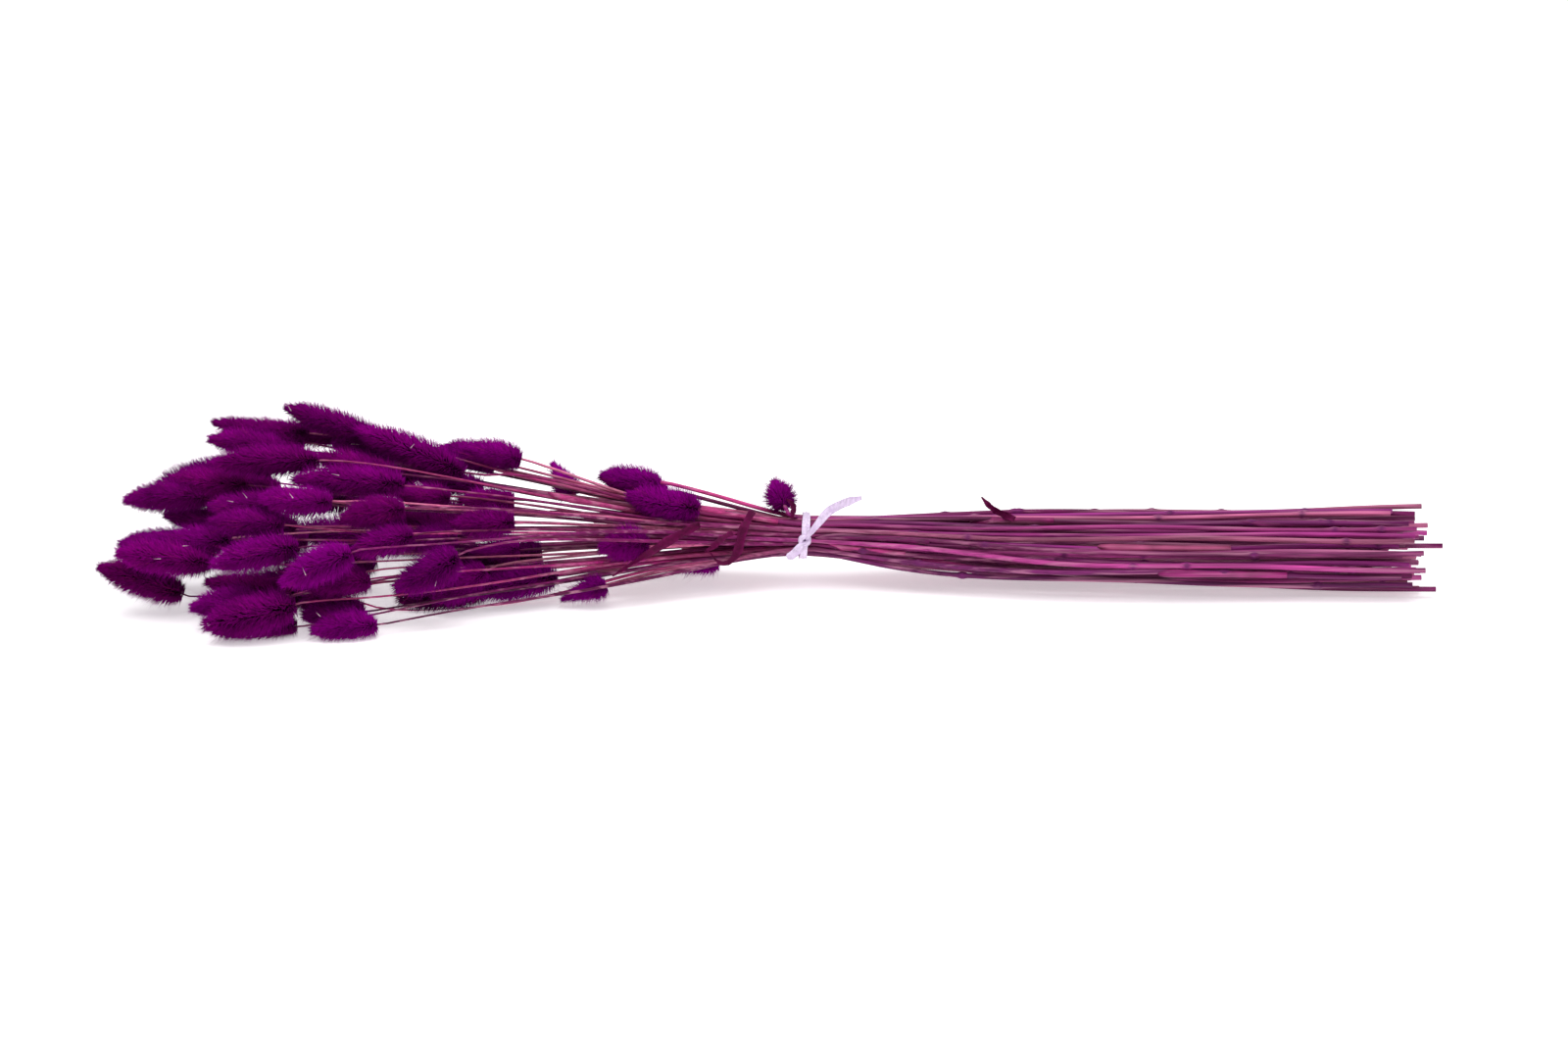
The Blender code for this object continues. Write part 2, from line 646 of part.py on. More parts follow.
    def fused_distance(self, first, second):
        """How near the axes of two heads must come for the heads to reach well into each other."""
        rods = self.rods
        p, q = self.points[rods.starts[first]], self.points[rods.ends[first]]
        r, s = self.points[rods.starts[second]], self.points[rods.ends[second]]
        wanted = -FUSED_DEPTH
        for rod, start, end, share in zip((first, second), (p, r), (q, s), closest_on_rods(p, q, r, s)):
            radius = rods.radii[rod]
            core = np.linalg.norm(end - start, axis=1)
            t = (CORE_BASE * radius + share * core) / (core + (CORE_BASE + CORE_TIP) * radius)
            wanted = wanted + radius * head_profile(t)
        return wanted

    def stem_distances(self, places, first, second):
        """How far each place is from the nearest stem of a plant other than the two heads' own."""
        rods = self.rods
        stems = np.flatnonzero(~rods.is_head)
        nearest = np.empty(len(places))
        for k, place in enumerate(places):
            owners = rods.plants[stems]
            others = stems[(owners != rods.plants[first[k]]) & (owners != rods.plants[second[k]])]
            start = self.points[rods.starts[others]]
            along = self.points[rods.ends[others]] - start
            share = np.sum((place - start) * along, axis=1) / np.sum(along * along, axis=1)
            foot = start + along * np.clip(share, 0.0, 1.0)[:, None]
            nearest[k] = np.linalg.norm(place - foot, axis=1).min()
        return nearest

    def group_heads(self):
        """Pairs the heads that lie closest until they fit in their nodes, and returns the groups."""
        head_rods = np.flatnonzero(self.rods.is_head)
        first, second = np.triu_indices(len(head_rods), 1)
        first, second = head_rods[first], head_rods[second]
        p, q = self.points[self.rods.starts[first]], self.points[self.rods.ends[first]]
        r, s = self.points[self.rods.starts[second]], self.points[self.rods.ends[second]]
        on_first, on_second = closest_on_rods(p, q, r, s)
        gap = (p + (q - p) * on_first[:, None]) - (r + (s - r) * on_second[:, None])
        clear = np.linalg.norm(gap, axis=1) - self.rods.radii[first] - self.rods.radii[second]
        # Hidden heads are joined first, and none near their tips or where a stem runs between them.
        seen = sum((self.rods.plants[rods] < len(SEEN_HEADS)).astype(int) for rods in (first, second))
        clear += SEEN_PAIR_COST * seen**2
        lowest, highest = ALONG_HEAD
        near_end = np.maximum(on_first, on_second) > highest
        near_end |= np.minimum(on_first, on_second) < lowest
        clear += np.where(near_end, NEAR_TIP_COST, 0.0)
        close = clear < FARTHEST_PAIR
        first, second, clear = first[close], second[close], clear[close]
        meeting = (p + (q - p) * on_first[:, None] + r + (s - r) * on_second[:, None])[close] / 2
        clear[self.stem_distances(meeting, first, second) < STEM_ROOM] += FARTHEST_PAIR
        for k in np.argsort(clear, kind="stable"):
            a, b = int(first[k]), int(second[k])
            if len(head_rods) - len(self.partners) <= HEAD_NODES:
                break
            own = np.flatnonzero(self.groups == self.groups[a])
            theirs = np.flatnonzero(self.groups == self.groups[b])
            if self.groups[a] != self.groups[b] and len(own) + len(theirs) <= MOST_IN_GROUP:
                self.partners.add((a, b))
                self.groups[theirs] = self.groups[a]
        groups = [self.rods.plants[self.groups == group] for group in set(self.groups[head_rods])]
        return sorted(tuple(int(i) for i in group) for group in groups)

    def head(self, i):
        """Base, tip and radius of a head where it came to lie."""
        low, high = (self.points[index] for index in self.head_points[i])
        radius = self.plants.radii[i]
        axis = (high - low) / np.linalg.norm(high - low)
        return low - axis * radius * CORE_BASE, high + axis * radius * CORE_TIP, radius

    def stem(self, i):
        return self.points[self.stem_points[i]]

    def stem_shape(self, i, thicker=0.0):
        return stem_mesh(self.stem(i), self.turns[i], self.knuckles[i], thicker)

    def clearance(self, place):
        """How far a place lies from the surface of the nearest rod."""
        start = self.points[self.rods.starts]
        along = self.points[self.rods.ends] - start
        share = np.sum((place - start) * along, axis=1) / np.sum(along * along, axis=1)
        foot = start + along * np.clip(share, 0.0, 1.0)[:, None]
        return float((np.linalg.norm(place - foot, axis=1) - self.rods.radii).min())


def mesh_of(name, vertices, faces):
    mesh = bpy.data.meshes.new(name)
    mesh.from_pydata([tuple(np.asarray(v) * MM) for v in vertices], [], faces)
    return mesh


def frame_across(direction):
    """Two unit vectors across a direction, the second as near upright as it can be."""
    direction = direction / np.linalg.norm(direction)
    upright = np.array([0.0, 0.0, 1.0])
    if abs(direction[2]) > 0.9:
        upright = np.array([0.0, 1.0, 0.0])
    side = np.cross(direction, upright)
    side /= np.linalg.norm(side)
    return side, np.cross(side, direction)


def lofted(rings, caps=None):
    """Vertices and faces of a closed skin over rings of equal count, capped flat or at two points."""
    sides = len(rings[0])
    vertices = [vertex for ring in rings for vertex in ring]
    faces = []
    for k in range(len(rings) - 1):
        for j in range(sides):
            a = k * sides + j
            b = k * sides + (j + 1) % sides
            faces.append((a, a + sides, b + sides, b))
    last = (len(rings) - 1) * sides
    if caps is None:
        faces.append(tuple(range(sides)))
        faces.append(tuple(reversed(range(last, last + sides))))
        return vertices, faces
    first_cap = len(vertices)
    vertices += list(caps)
    for j in range(sides):
        following = (j + 1) % sides
        faces.append((first_cap, j, following))
        faces.append((first_cap + 1, last + following, last + j))
    return vertices, faces


def looped(rings):
    """Vertices and faces of a closed skin over rings that lead back to the first one."""
    sides = len(rings[0])
    vertices = [vertex for ring in rings for vertex in ring]
    faces = []
    for k in range(len(rings)):
        following = (k + 1) % len(rings)
        for j in range(sides):
            a = k * sides + j
            b = k * sides + (j + 1) % sides
            c = following * sides + (j + 1) % sides
            faces.append((a, following * sides + j, c, b))
    return vertices, faces


def ring_round(centre, direction, radius, sides, turn=0.0):
    side, above = frame_across(direction)
    angles = [turn + 2 * math.pi * j / sides for j in range(sides)]
    return [centre + radius * (math.cos(a) * side + math.sin(a) * above) for a in angles]


def on_table(vertices):
    """Presses flat what would reach under the table."""
    return [np.array([v[0], v[1], max(v[2], 0.0)]) for v in vertices]


def without_straight_points(route):
    """Leaves out the points that lie on the straight way between their neighbours."""
    kept = [route[0]]
    for k in range(1, len(route) - 1):
        run = route[k + 1] - kept[-1]
        run = run / np.linalg.norm(run)
        off = route[k] - kept[-1]
        if np.linalg.norm(off - run * np.dot(off, run)) > STRAIGHT_WITHIN:
            kept.append(route[k])
    return kept + [route[-1]]


def stem_mesh(route, turn, knuckle, thicker):
    """One stem as a few-sided tube, thinner towards its head, with a swollen joint where it has one."""
    rings = []
    centres = []
    route = without_straight_points(route)
    for k, point in enumerate(route):
        if k and route[k - 1][0] < knuckle <= point[0]:
            share = (knuckle - route[k - 1][0]) / (point[0] - route[k - 1][0])
            middle = route[k - 1] + (point - route[k - 1]) * share
            step = (point - route[k - 1]) / np.linalg.norm(point - route[k - 1])
            for shift, swell in ((-1, 1.0), (0, KNUCKLE_SWELL), (1, 1.0)):
                centres.append((middle + step * shift * KNUCKLE_HALF_LENGTH, swell))
        centres.append((point, 1.0))
    for k, (centre, swell) in enumerate(centres):
        before = centres[max(k - 1, 0)][0]
        after = centres[min(k + 1, len(centres) - 1)][0]
        radius = stem_radius(centre[0]) * swell + thicker / math.cos(math.pi / STEM_SIDES)
        rings.append(ring_round(centre, after - before, radius, STEM_SIDES, turn))
    vertices, faces = lofted(rings)
    return on_table(vertices), faces


def head_profile(t):
    """A head's radius as a share of its widest, from base to tip."""
    shifted = t**WIDEST_SHIFT
    return (1 - abs(2 * shifted - 1) ** SIDE_ROUNDNESS) ** END_ROUNDNESS


def head_mesh(base, tip, radius, turn, sides, count):
    """A head whose tufts stand out and lean to the tip, like tiles laid half over each other."""
    axis = tip - base
    length = np.linalg.norm(axis)
    axis = axis / length
    side, above = frame_across(axis)
    rings = []
    for k in range(count):
        t = (k + 0.6) / (count + 0.2)
        ring = []
        for j in range(sides):
            raised = j % 2 == 0
            angle = turn + 2 * math.pi * (j + k % 2) / sides
            out = radius * head_profile(t) - (0.0 if raised else TUFT_RISE)
            out = max(out, LEAST_TUFT_RADIUS)
            reach = TUFT_REACH if raised else 0.0
            centre = base + axis * min(t * length + reach, length - TIP_ROOM)
            ring.append(centre + out * (math.cos(angle) * side + math.sin(angle) * above))
        rings.append(ring)
    return lofted(rings, (base, tip))


def table_block(x, y):
    """The table's top under this place, to press flat the head that lies on it."""
    half = TABLE_BLOCK_HALF
    rings = []
    for across in (-half, half):
        corners = ((-half, -half), (half, -half), (half, 0.0), (-half, 0.0))
        rings.append([np.array([x + along, y + across, height]) for along, height in corners])
    return lofted(rings)


def strip_ring(point, run, normal, width, thickness):
    """The four corners of a strip's section, its flat side turned towards a direction."""
    run = run / np.linalg.norm(run)
    normal = normal - run * np.dot(normal, run)
    normal = normal / np.linalg.norm(normal)
    across = np.cross(run, normal) * width / 2
    half = normal * thickness / 2
    return [point - across - half, point + across - half, point + across + half, point - across + half]


def ribbon_mesh(points, widths, thickness):
    """A bent strip whose flat side faces the camera."""
    to_camera = np.array([0.0, -math.cos(CAMERA_TILT), math.sin(CAMERA_TILT)])
    rings = []
    for k, point in enumerate(points):
        run = points[min(k + 1, len(points) - 1)] - points[max(k - 1, 0)]
        rings.append(strip_ring(point, run, to_camera, widths[k], thickness))
    return lofted(rings)


def band_mesh(half_sizes):
    """The strip where it goes round the stems, with a slight wave along them."""
    reach = STEM_TIE_RADIUS + GAP + STRIP_THICKNESS / 2
    half_depth, half_height = (size + reach for size in half_sizes)
    rings = []
    for step in range(BAND_STEPS):
        angle = 2 * math.pi * step / BAND_STEPS
        outward = np.array([0.0, math.cos(angle), math.sin(angle)])
        centre = np.array([
            along_x(TIE_COLUMN) + BAND_WAVE * math.sin(angle),
            half_depth * math.cos(angle),
            TIE_HEIGHT + half_height * math.sin(angle),
        ])
        run = np.array([
            BAND_WAVE * math.cos(angle),
            -half_depth * math.sin(angle),
            half_height * math.cos(angle),
        ])
        rings.append(strip_ring(centre, run, outward, STRIP_WIDTH, STRIP_THICKNESS))
    return looped(rings)


def knot_mesh(half_depth):
    """The knot: a small rounded lump on the band's near side."""
    reach = half_depth + STEM_TIE_RADIUS + GAP + STRIP_THICKNESS + KNOT_STAND_OFF
    centre = np.array([along_x(TIE_COLUMN), -reach, TIE_HEIGHT + KNOT_RISE])
    half_sizes = np.array(KNOT_HALF_SIZES)
    rings = []
    for level in KNOT_LEVELS:
        run = np.array([1.0, 0.0, 0.0])
        ring = ring_round(np.zeros(3), run, math.sqrt(1 - level**2), KNOT_SIDES)
        rings.append([centre + half_sizes * (vertex + run * level) for vertex in ring])
    ends = [centre + half_sizes * np.array([end, 0.0, 0.0]) for end in (-1.0, 1.0)]
    return lofted(rings, ends)


def strip_end_mesh(route):
    points = [seen_at(column, row, depth) for column, row, depth in route]
    widths = [STRIP_WIDTH] * (len(points) - 1) + [STRIP_WIDTH * STRIP_TIP_SHARE]
    return ribbon_mesh(points, widths, STRIP_THICKNESS)


def laid_on(layout, column, row, width, deepest):
    """The place at this pixel where a strip first meets what lies behind it, or the deepest allowed."""
    side = np.array([width / 2, 0.0, 0.0])
    above = np.array([0.0, 0.0, width / 2])
    place = seen_at(column, row, NEAREST_DEPTH)
    for depth in np.arange(NEAREST_DEPTH, deepest, DEPTH_STEP):
        following = seen_at(column, row, depth)
        around = [following, following + side, following - side, following + above, following - above]
        if min(layout.clearance(p) for p in around) < LEAF_THICKNESS / 2 + LEAF_GAP:
            return place
        place = following
    return place


def object_from(name, mesh, colour, roughness, sharp_from):
    mesh.shade_smooth()
    mesh.set_sharp_from_angle(angle=math.radians(sharp_from))
    material = bpy.data.materials.new(name)
    material.use_nodes = True
    shader = material.node_tree.nodes["Principled BSDF"]
    shader.inputs["Base Color"].default_value = (*colour, 1.0)
    shader.inputs["Roughness"].default_value = roughness
    shader.inputs["Metallic"].default_value = 0.0
    mesh.materials.clear()
    mesh.materials.append(material)
    made = bpy.data.objects.new(name, mesh)
    bpy.context.scene.collection.objects.link(made)
    return made


def fused_mesh(name, shapes, solver="EXACT", dents=()):
    """One mesh from several that reach into each other, without what presses into them."""
    if len(shapes) == 1 and not dents:
        return mesh_of(name, *shapes[0])
    joined = bpy.data.objects.new(name, mesh_of(name, *shapes[0]))
    bpy.context.scene.collection.objects.link(joined)
    used = [joined]
    groups = []
    for operation, pieces in (("UNION", shapes[1:]), ("DIFFERENCE", dents)):
        if not pieces:
            continue
        group = bpy.data.collections.new(name)
        bpy.context.scene.collection.children.link(group)
        for piece in pieces:
            group.objects.link(bpy.data.objects.new(name, mesh_of(name, *piece)))
        used += group.objects
        groups.append(group)
        step = joined.modifiers.new(operation, "BOOLEAN")
        step.operation = operation
        step.operand_type = "COLLECTION"
        step.collection = group
        step.solver = solver
    graph = bpy.context.evaluated_depsgraph_get()
    result = bpy.data.meshes.new_from_object(joined.evaluated_get(graph))
    for item in used:
        bpy.data.objects.remove(item)
    for group in groups:
        bpy.data.collections.remove(group)
    drop_crumbs(result)
    return result


def drop_crumbs(mesh):
    """Removes the closed pockets and tiny flakes that are left where two pieces just cross."""
    work = bmesh.new()
    work.from_mesh(mesh)
    bmesh.ops.triangulate(work, faces=work.faces)
    work.normal_update()
    left = set(work.faces)
    while left:
        first = left.pop()
        island = {first}
        waiting = [first]
        while waiting:
            edges = [edge for edge in waiting.pop().edges if edge.is_manifold]
            near = {other for edge in edges for other in edge.link_faces} - island
            island |= near
            waiting += near
        left -= island
        places = np.array([vertex.co for face in island for vertex in face.verts])
        outward = sum(face.calc_center_median().dot(face.normal) * face.calc_area() for face in island)
        if outward < 0 or np.ptp(places, axis=0).max() < CRUMB_SIZE * MM:
            bmesh.ops.delete(work, geom=list(island), context="FACES")
    work.to_mesh(mesh)
    work.free()


def block_mesh(half_length, y_range, z_range):
    """A short block across the tie."""
    tie_x = along_x(TIE_COLUMN)
    rings = []
    for y in y_range:
        corners = ((-1, z_range[0]), (1, z_range[0]), (1, z_range[1]), (-1, z_range[1]))
        rings.append([np.array([tie_x + end * half_length, y, z]) for end, z in corners])
    return lofted(rings)


def pressed_together(slots):
    """Where the tie squeezes the stems of a node together: a flat web through each row, and one between."""
    lower = slots[slots[:, 2] == slots[:, 2].min()]
    middle = lower[np.argmin(abs(lower[:, 0])), 0]
    webs = []
    heights = []
    for row in sorted(set(slots[:, 2])):
        members = slots[slots[:, 2] == row]
        z = TIE_HEIGHT + members[0, 1]
        heights.append(z)
        places = [*members[:, 0], middle]
        ends = (min(places) - WEB_HALF_HEIGHT, max(places) + WEB_HALF_HEIGHT)
        webs.append(block_mesh(PRESSED_LENGTH / 2, ends, (z - WEB_HALF_HEIGHT, z + WEB_HALF_HEIGHT)))
    if len(heights) > 1:
        ends = (middle - WEB_HALF_HEIGHT, middle + WEB_HALF_HEIGHT)
        webs.append(block_mesh(PRESSED_LENGTH / 3, ends, heights[:2]))
    return webs


def passing_stems(layout, members, heads, others, room):
    """Which of the other plants' stems come nearer than this to the heads or stems of these plants."""
    rods = layout.rods
    own = np.flatnonzero(np.isin(rods.plants, members) & (rods.is_head == heads))
    theirs = np.flatnonzero(np.isin(rods.plants, others) & ~rods.is_head)
    first, second = (pairs.ravel() for pairs in np.meshgrid(own, theirs))
    different = rods.plants[first] != rods.plants[second]
    first, second = first[different], second[different]
    p, q = layout.points[rods.starts[first]], layout.points[rods.ends[first]]
    r, s = layout.points[rods.starts[second]], layout.points[rods.ends[second]]
    on_first, on_second = closest_on_rods(p, q, r, s)
    here = p + (q - p) * on_first[:, None]
    there = r + (s - r) * on_second[:, None]
    clear = np.linalg.norm(here - there, axis=1)
    clear -= layout.radii_at(first, here) + layout.radii_at(second, there)
    return sorted(set(int(i) for i in rods.plants[second[clear < room]]))


STEM_COLOURS = (
    (0.20, 0.015, 0.10),
    (0.30, 0.03, 0.16),
    (0.36, 0.05, 0.20),
    (0.33, 0.04, 0.17),
    (0.42, 0.09, 0.24),
)
HEAD_COLOURS = ((0.14, 0.0, 0.16), (0.10, 0.0, 0.11), (0.19, 0.0, 0.20))
LEAF_COLOUR = (0.13, 0.005, 0.07)
STEM_SHARP_ANGLE = 100
SHARP_ANGLE = 50
TIE_COLOUR = (0.72, 0.62, 0.80)


def build_stems(layout):
    """The stems, in a node for each two rows of their packing in the tie."""
    rows = layout.plants.slots[:, 2].astype(int)
    layers = (rows - rows.min()) // 2
    for layer in range(layers.max() + 1):
        members = np.flatnonzero(layers == layer)
        shapes = pressed_together(layout.plants.slots[members])
        shapes += [layout.stem_shape(i) for i in members]
        # Where a stem of a lower layer presses into one of these, it leaves a dent.
        below = passing_stems(layout, members, False, np.flatnonzero(layers < layer), KNUCKLE_ROOM)
        dents = [layout.stem_shape(i, STEM_DENT) for i in below]
        name = f"stems_{layer + 1}"
        colour = STEM_COLOURS[layer % len(STEM_COLOURS)]
        mesh = fused_mesh(name, shapes, "MANIFOLD", dents)
        object_from(name, mesh, colour, 0.6, STEM_SHARP_ANGLE)


def build_heads(layout, groups):
    """The heads, dented where a stem presses into their soft hairs."""
    draw = np.random.default_rng(SEED + 3)
    everyone = np.arange(len(layout.plants.radii))
    for number, group in enumerate(groups, 1):
        shapes = []
        for i in group:
            shown = i < len(SEEN_HEADS)
            sides = HEAD_SIDES if shown else HIDDEN_SIDES
            count = HEAD_RINGS if shown else HIDDEN_RINGS
            shapes.append(head_mesh(*layout.head(i), draw.uniform(0.0, 0.7), sides, count))
        passing = passing_stems(layout, group, True, everyone, TUFT_ROOM)
        dents = [layout.stem_shape(i, GAP) for i in passing]
        for vertices, _ in shapes:
            if min(vertex[2] for vertex in vertices) < 0:
                middle = sum(vertices) / len(vertices)
                dents.append(table_block(middle[0], middle[1]))
        name = f"head_{number:02d}" if len(group) == 1 else f"heads_{number:02d}"
        colour = HEAD_COLOURS[number % len(HEAD_COLOURS)]
        mesh = fused_mesh(name, shapes, "MANIFOLD", dents)
        object_from(name, mesh, colour, 0.95, SHARP_ANGLE)


def build_tie(layout):
    slots = layout.plants.slots
    reached = np.hypot(slots[:, 0] / WAIST_HALF_DEPTH, slots[:, 1] / WAIST_HALF_HEIGHT).max()
    half_sizes = (WAIST_HALF_DEPTH * reached, WAIST_HALF_HEIGHT * reached)
    shapes = [band_mesh(half_sizes), knot_mesh(half_sizes[0])]
    shapes += [strip_end_mesh(LONG_END), strip_end_mesh(SHORT_END)]
    object_from("tie", fused_mesh("tie", shapes), TIE_COLOUR, 0.4, SHARP_ANGLE)


def seated_leaf(layout, points, widths):
    """Slides a leaf along the line of sight until it all but touches a stem or a head."""
    sight = np.array([0.0, math.cos(CAMERA_TILT), -math.sin(CAMERA_TILT)])
    seated = None
    for slide in np.arange(*LEAF_SLIDE):
        shape = ribbon_mesh([point + sight * slide for point in points], widths, LEAF_THICKNESS)
        vertices, faces = shape
        middles = [sum(vertices[i] for i in face) / len(face) for face in faces]
        if seated and min(layout.clearance(place) for place in vertices + middles) < LEAF_GAP:
            break
        seated = shape
    return seated


def build_leaves(layout):
    """Each dried leaf rests on the stems at its root and bends away from them to its tip."""
    for leaf in LEAVES:
        points = []
        widths = []
        deepest = DEEPEST_DEPTH
        for k, (column, row) in enumerate(leaf.route):
            place = laid_on(layout, column, row, leaf.width, deepest)
            deepest = place[1] + LEAF_REACH
            points.append(place)
            share = k / (len(leaf.route) - 1)
            middle_share = math.sin(math.pi * share)
            width = leaf.width * (LEAF_END_WIDTH + (1 - LEAF_END_WIDTH) * middle_share)
            widths.append(width * (1 - LEAF_TAPER * share**3))
        for k in range(len(points) - 2, -1, -1):
            column, row = leaf.route[k]
            points[k] = seen_at(column, row, min(points[k][1], points[k + 1][1] + LEAF_REACH))
        mesh = mesh_of(leaf.name, *seated_leaf(layout, points, widths))
        object_from(leaf.name, mesh, LEAF_COLOUR, 0.6, SHARP_ANGLE)


def clear_scene():
    for item in list(bpy.data.objects):
        bpy.data.objects.remove(item)


def centre_over_origin():
    """Moves everything so that the bundle's box stands on the origin."""
    places = np.array([vertex.co for item in bpy.data.objects for vertex in item.data.vertices])
    lowest = places.min(axis=0)
    middle = (lowest + places.max(axis=0)) / 2
    shift = Matrix.Translation((-middle[0], -middle[1], -lowest[2]))
    for item in bpy.data.objects:
        item.data.transform(shift)


def main():
    clear_scene()
    layout = Layout()
    layout.settle(FIRST_ROUNDS, FIRST_HOLD)
    groups = layout.group_heads()
    for hold in LATER_HOLDS:
        layout.settle(LATER_ROUNDS, hold)
    build_stems(layout)
    build_heads(layout, groups)
    build_tie(layout)
    build_leaves(layout)
    centre_over_origin()


if __name__ == "__main__":
    main()
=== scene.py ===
"""A bundle of dried bunny tail grass, dyed purple: the fur of its heads, its straws, leaves and tie.

Every stem and head is laid out as in the part's source, from the same values, and moved by the same
shift to stand over the origin. Lengths are millimetres until a mesh is made.
"""

import math
from collections import namedtuple

import bpy
import numpy as np
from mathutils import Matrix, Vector


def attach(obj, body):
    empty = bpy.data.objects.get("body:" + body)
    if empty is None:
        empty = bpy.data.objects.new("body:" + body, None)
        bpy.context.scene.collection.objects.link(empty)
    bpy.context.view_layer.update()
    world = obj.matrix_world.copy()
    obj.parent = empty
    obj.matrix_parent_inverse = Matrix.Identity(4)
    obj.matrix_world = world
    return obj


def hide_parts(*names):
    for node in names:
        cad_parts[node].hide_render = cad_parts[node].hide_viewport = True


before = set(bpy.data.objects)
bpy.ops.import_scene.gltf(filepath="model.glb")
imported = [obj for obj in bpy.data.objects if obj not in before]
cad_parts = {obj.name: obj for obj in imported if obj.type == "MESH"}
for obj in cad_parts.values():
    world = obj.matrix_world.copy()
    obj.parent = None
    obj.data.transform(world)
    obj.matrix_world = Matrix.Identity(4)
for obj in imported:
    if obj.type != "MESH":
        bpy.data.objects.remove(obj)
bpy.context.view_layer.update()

MM = 0.001

# What counts as nothing: a length, and a product of lengths
TINY = 1e-6
TINIEST = 1e-9

# How the picture sees the bundle
MM_PER_PIXEL = 0.45
CENTRE_COLUMN = 800
CENTRE_ROW = 531
ORIGIN_COLUMN = 795.5
TABLE_ROW = 595
CAMERA_TILT = math.radians(17)
CAMERA_DISTANCE = 2200.0
PICTURE_COLUMNS = 1600
SENSOR_WIDTH = 36.0

# The tie and the stems in it
TIE_COLUMN = 821
TIE_HEIGHT = 23.0
WAIST_HALF_DEPTH = 13.2
WAIST_HALF_HEIGHT = 9.4
STEM_PITCH = 2.2
SLOTS_EACH_WAY = 10
SORTING_ROWS = 4
TIE_HALF_LENGTH = 5.0

# A stem's radius grows from its head to its cut end: at these distances from the tie
STEM_TIE_RADIUS = 1.0
RADIUS_DISTANCES = (-300.0, -90.0, -6.0, 6.0, 60.0, 290.0)
STEM_RADII = (0.62, 0.8, STEM_TIE_RADIUS, STEM_TIE_RADIUS, 1.1, 1.18)
STEMS_WITHOUT_HEAD = 4
HEADLESS_FIRST = (560, 520, -10.0)
HEADLESS_STEP = (45, 14, 8.0)
KNUCKLE_COLUMNS = (1000, 1400)
KNUCKLE_SHARE = 0.25

# Where a stem has its rings, measured from the tie
UPPER_STATIONS = (-190.0, -125.0, -60.0)
LOWER_STATIONS = (45.0, 130.0)
STATION_CLEAR = 12.5
STEEPEST = 0.5
LEAST_FORWARD = 0.3

# The cut half of the bundle: half depth, half height and middle height at each distance from the tie
CUT_DISTANCES = (0.0, 26.0, 54.0, 80.0, 125.0, 170.0, 290.0)
CUT_HALF_DEPTHS = (13.2, 16.0, 23.0, 29.0, 35.0, 38.0, 40.0)
CUT_HALF_HEIGHTS = (9.4, 10.5, 14.0, 15.8, 17.0, 18.0, 18.2)
CUT_MIDDLES = (23.0, 21.8, 19.6, 18.8, 18.0, 17.6, 17.4)
SIDEWAYS_DRIFT = 0.06
UPWARD_DRIFT = 0.08
CUT_COLUMNS = (1418, 1450)
LONG_CUT_COLUMN = 1474
LONG_CUT_SHARE = 0.08

# The fan of heads is a low heap: its height and half depth at each column of the picture
FAN_COLUMNS = (100, 150, 220, 300, 400, 460, 530, 600, 660, 720, 800)
FAN_HEIGHTS = (40, 54, 76, 82, 76, 68, 60, 54, 50, 44, 36)
FAN_HALF_DEPTHS = (38, 56, 86, 90, 80, 64, 52, 40, 32, 24, 18)
LAYER_SETBACK = 13.0
HEAD_SPREAD = 0.6
LEAST_RUN = 30.0
ON_TABLE = 9
TABLE_LIFT = 1.5

# A head's outer shape
WIDER = 1.2
SHORTEST_HEAD = 19.0
WIDEST_SHIFT = 0.8
SIDE_ROUNDNESS = 2.6
END_ROUNDNESS = 0.55
CORE_BASE = 0.8
CORE_TIP = 0.8
NECK_LENGTH = 5.0
HIDDEN_HEADS = 18
HIDDEN_COLUMNS = (170, 525)
FAR_ON_TABLE = ((255, 52.0), (335, 60.0), (430, 44.0))
HIDDEN_HEAD_LENGTHS = (38.0, 47.0)
HIDDEN_HEAD_WIDTHS = (11.0, 13.5)
HIDDEN_PLACES = ((0.618, 0.3), (0.755, 0.1))
HIDDEN_NEAR_INSET = (0.6, 0.9)
HIDDEN_FAR_INSET = (0.3, 0.62)
HIDDEN_HEIGHT = 0.75
HIDDEN_SPREAD = 0.8
HIDDEN_RISE = (-0.22, 0.12)

# Heads that lie side by side are joined where there are more than the nodes can hold
HEAD_NODES = 49
MOST_IN_GROUP = 3
FUSED_DEPTH = 3.2
STEM_ROOM = 4.0
SEEN_PAIR_COST = 2.0
NEAR_TIP_COST = 2.0
ALONG_HEAD = (0.05, 0.85)
FARTHEST_PAIR = 16.0

# How the stems and heads are moved apart
GAP = 0.3
HEAD_GAP = 0.5
STEM_GAP = 0.15
STEM_SKIN = 0.1
FAR_AWAY = 1000.0
HEAD_HOLD = 1.0
SEEN_FREEDOM = (0.15, 0.8, 0.4)
HIDDEN_FREEDOM = (0.5, 1.0, 0.9)
TABLE_FREEDOM = (0.2, 0.6, 0.0)
NEARBY = 4.0
NEIGHBOURS_AGAIN = 8
PUSH_SHARE = 0.45
PUSH_WHOLE = 0.35
PUSH_CALM = 0.6
PULLS = 3
FIRST_ROUNDS = 100
FIRST_HOLD = 0.04
LATER_ROUNDS = 56
LATER_HOLDS = (0.03, 0.015, 0.007, 0.004)
TABLE_PRESS = 1.0
NEARLY_UPRIGHT = 0.9
SEED = 11

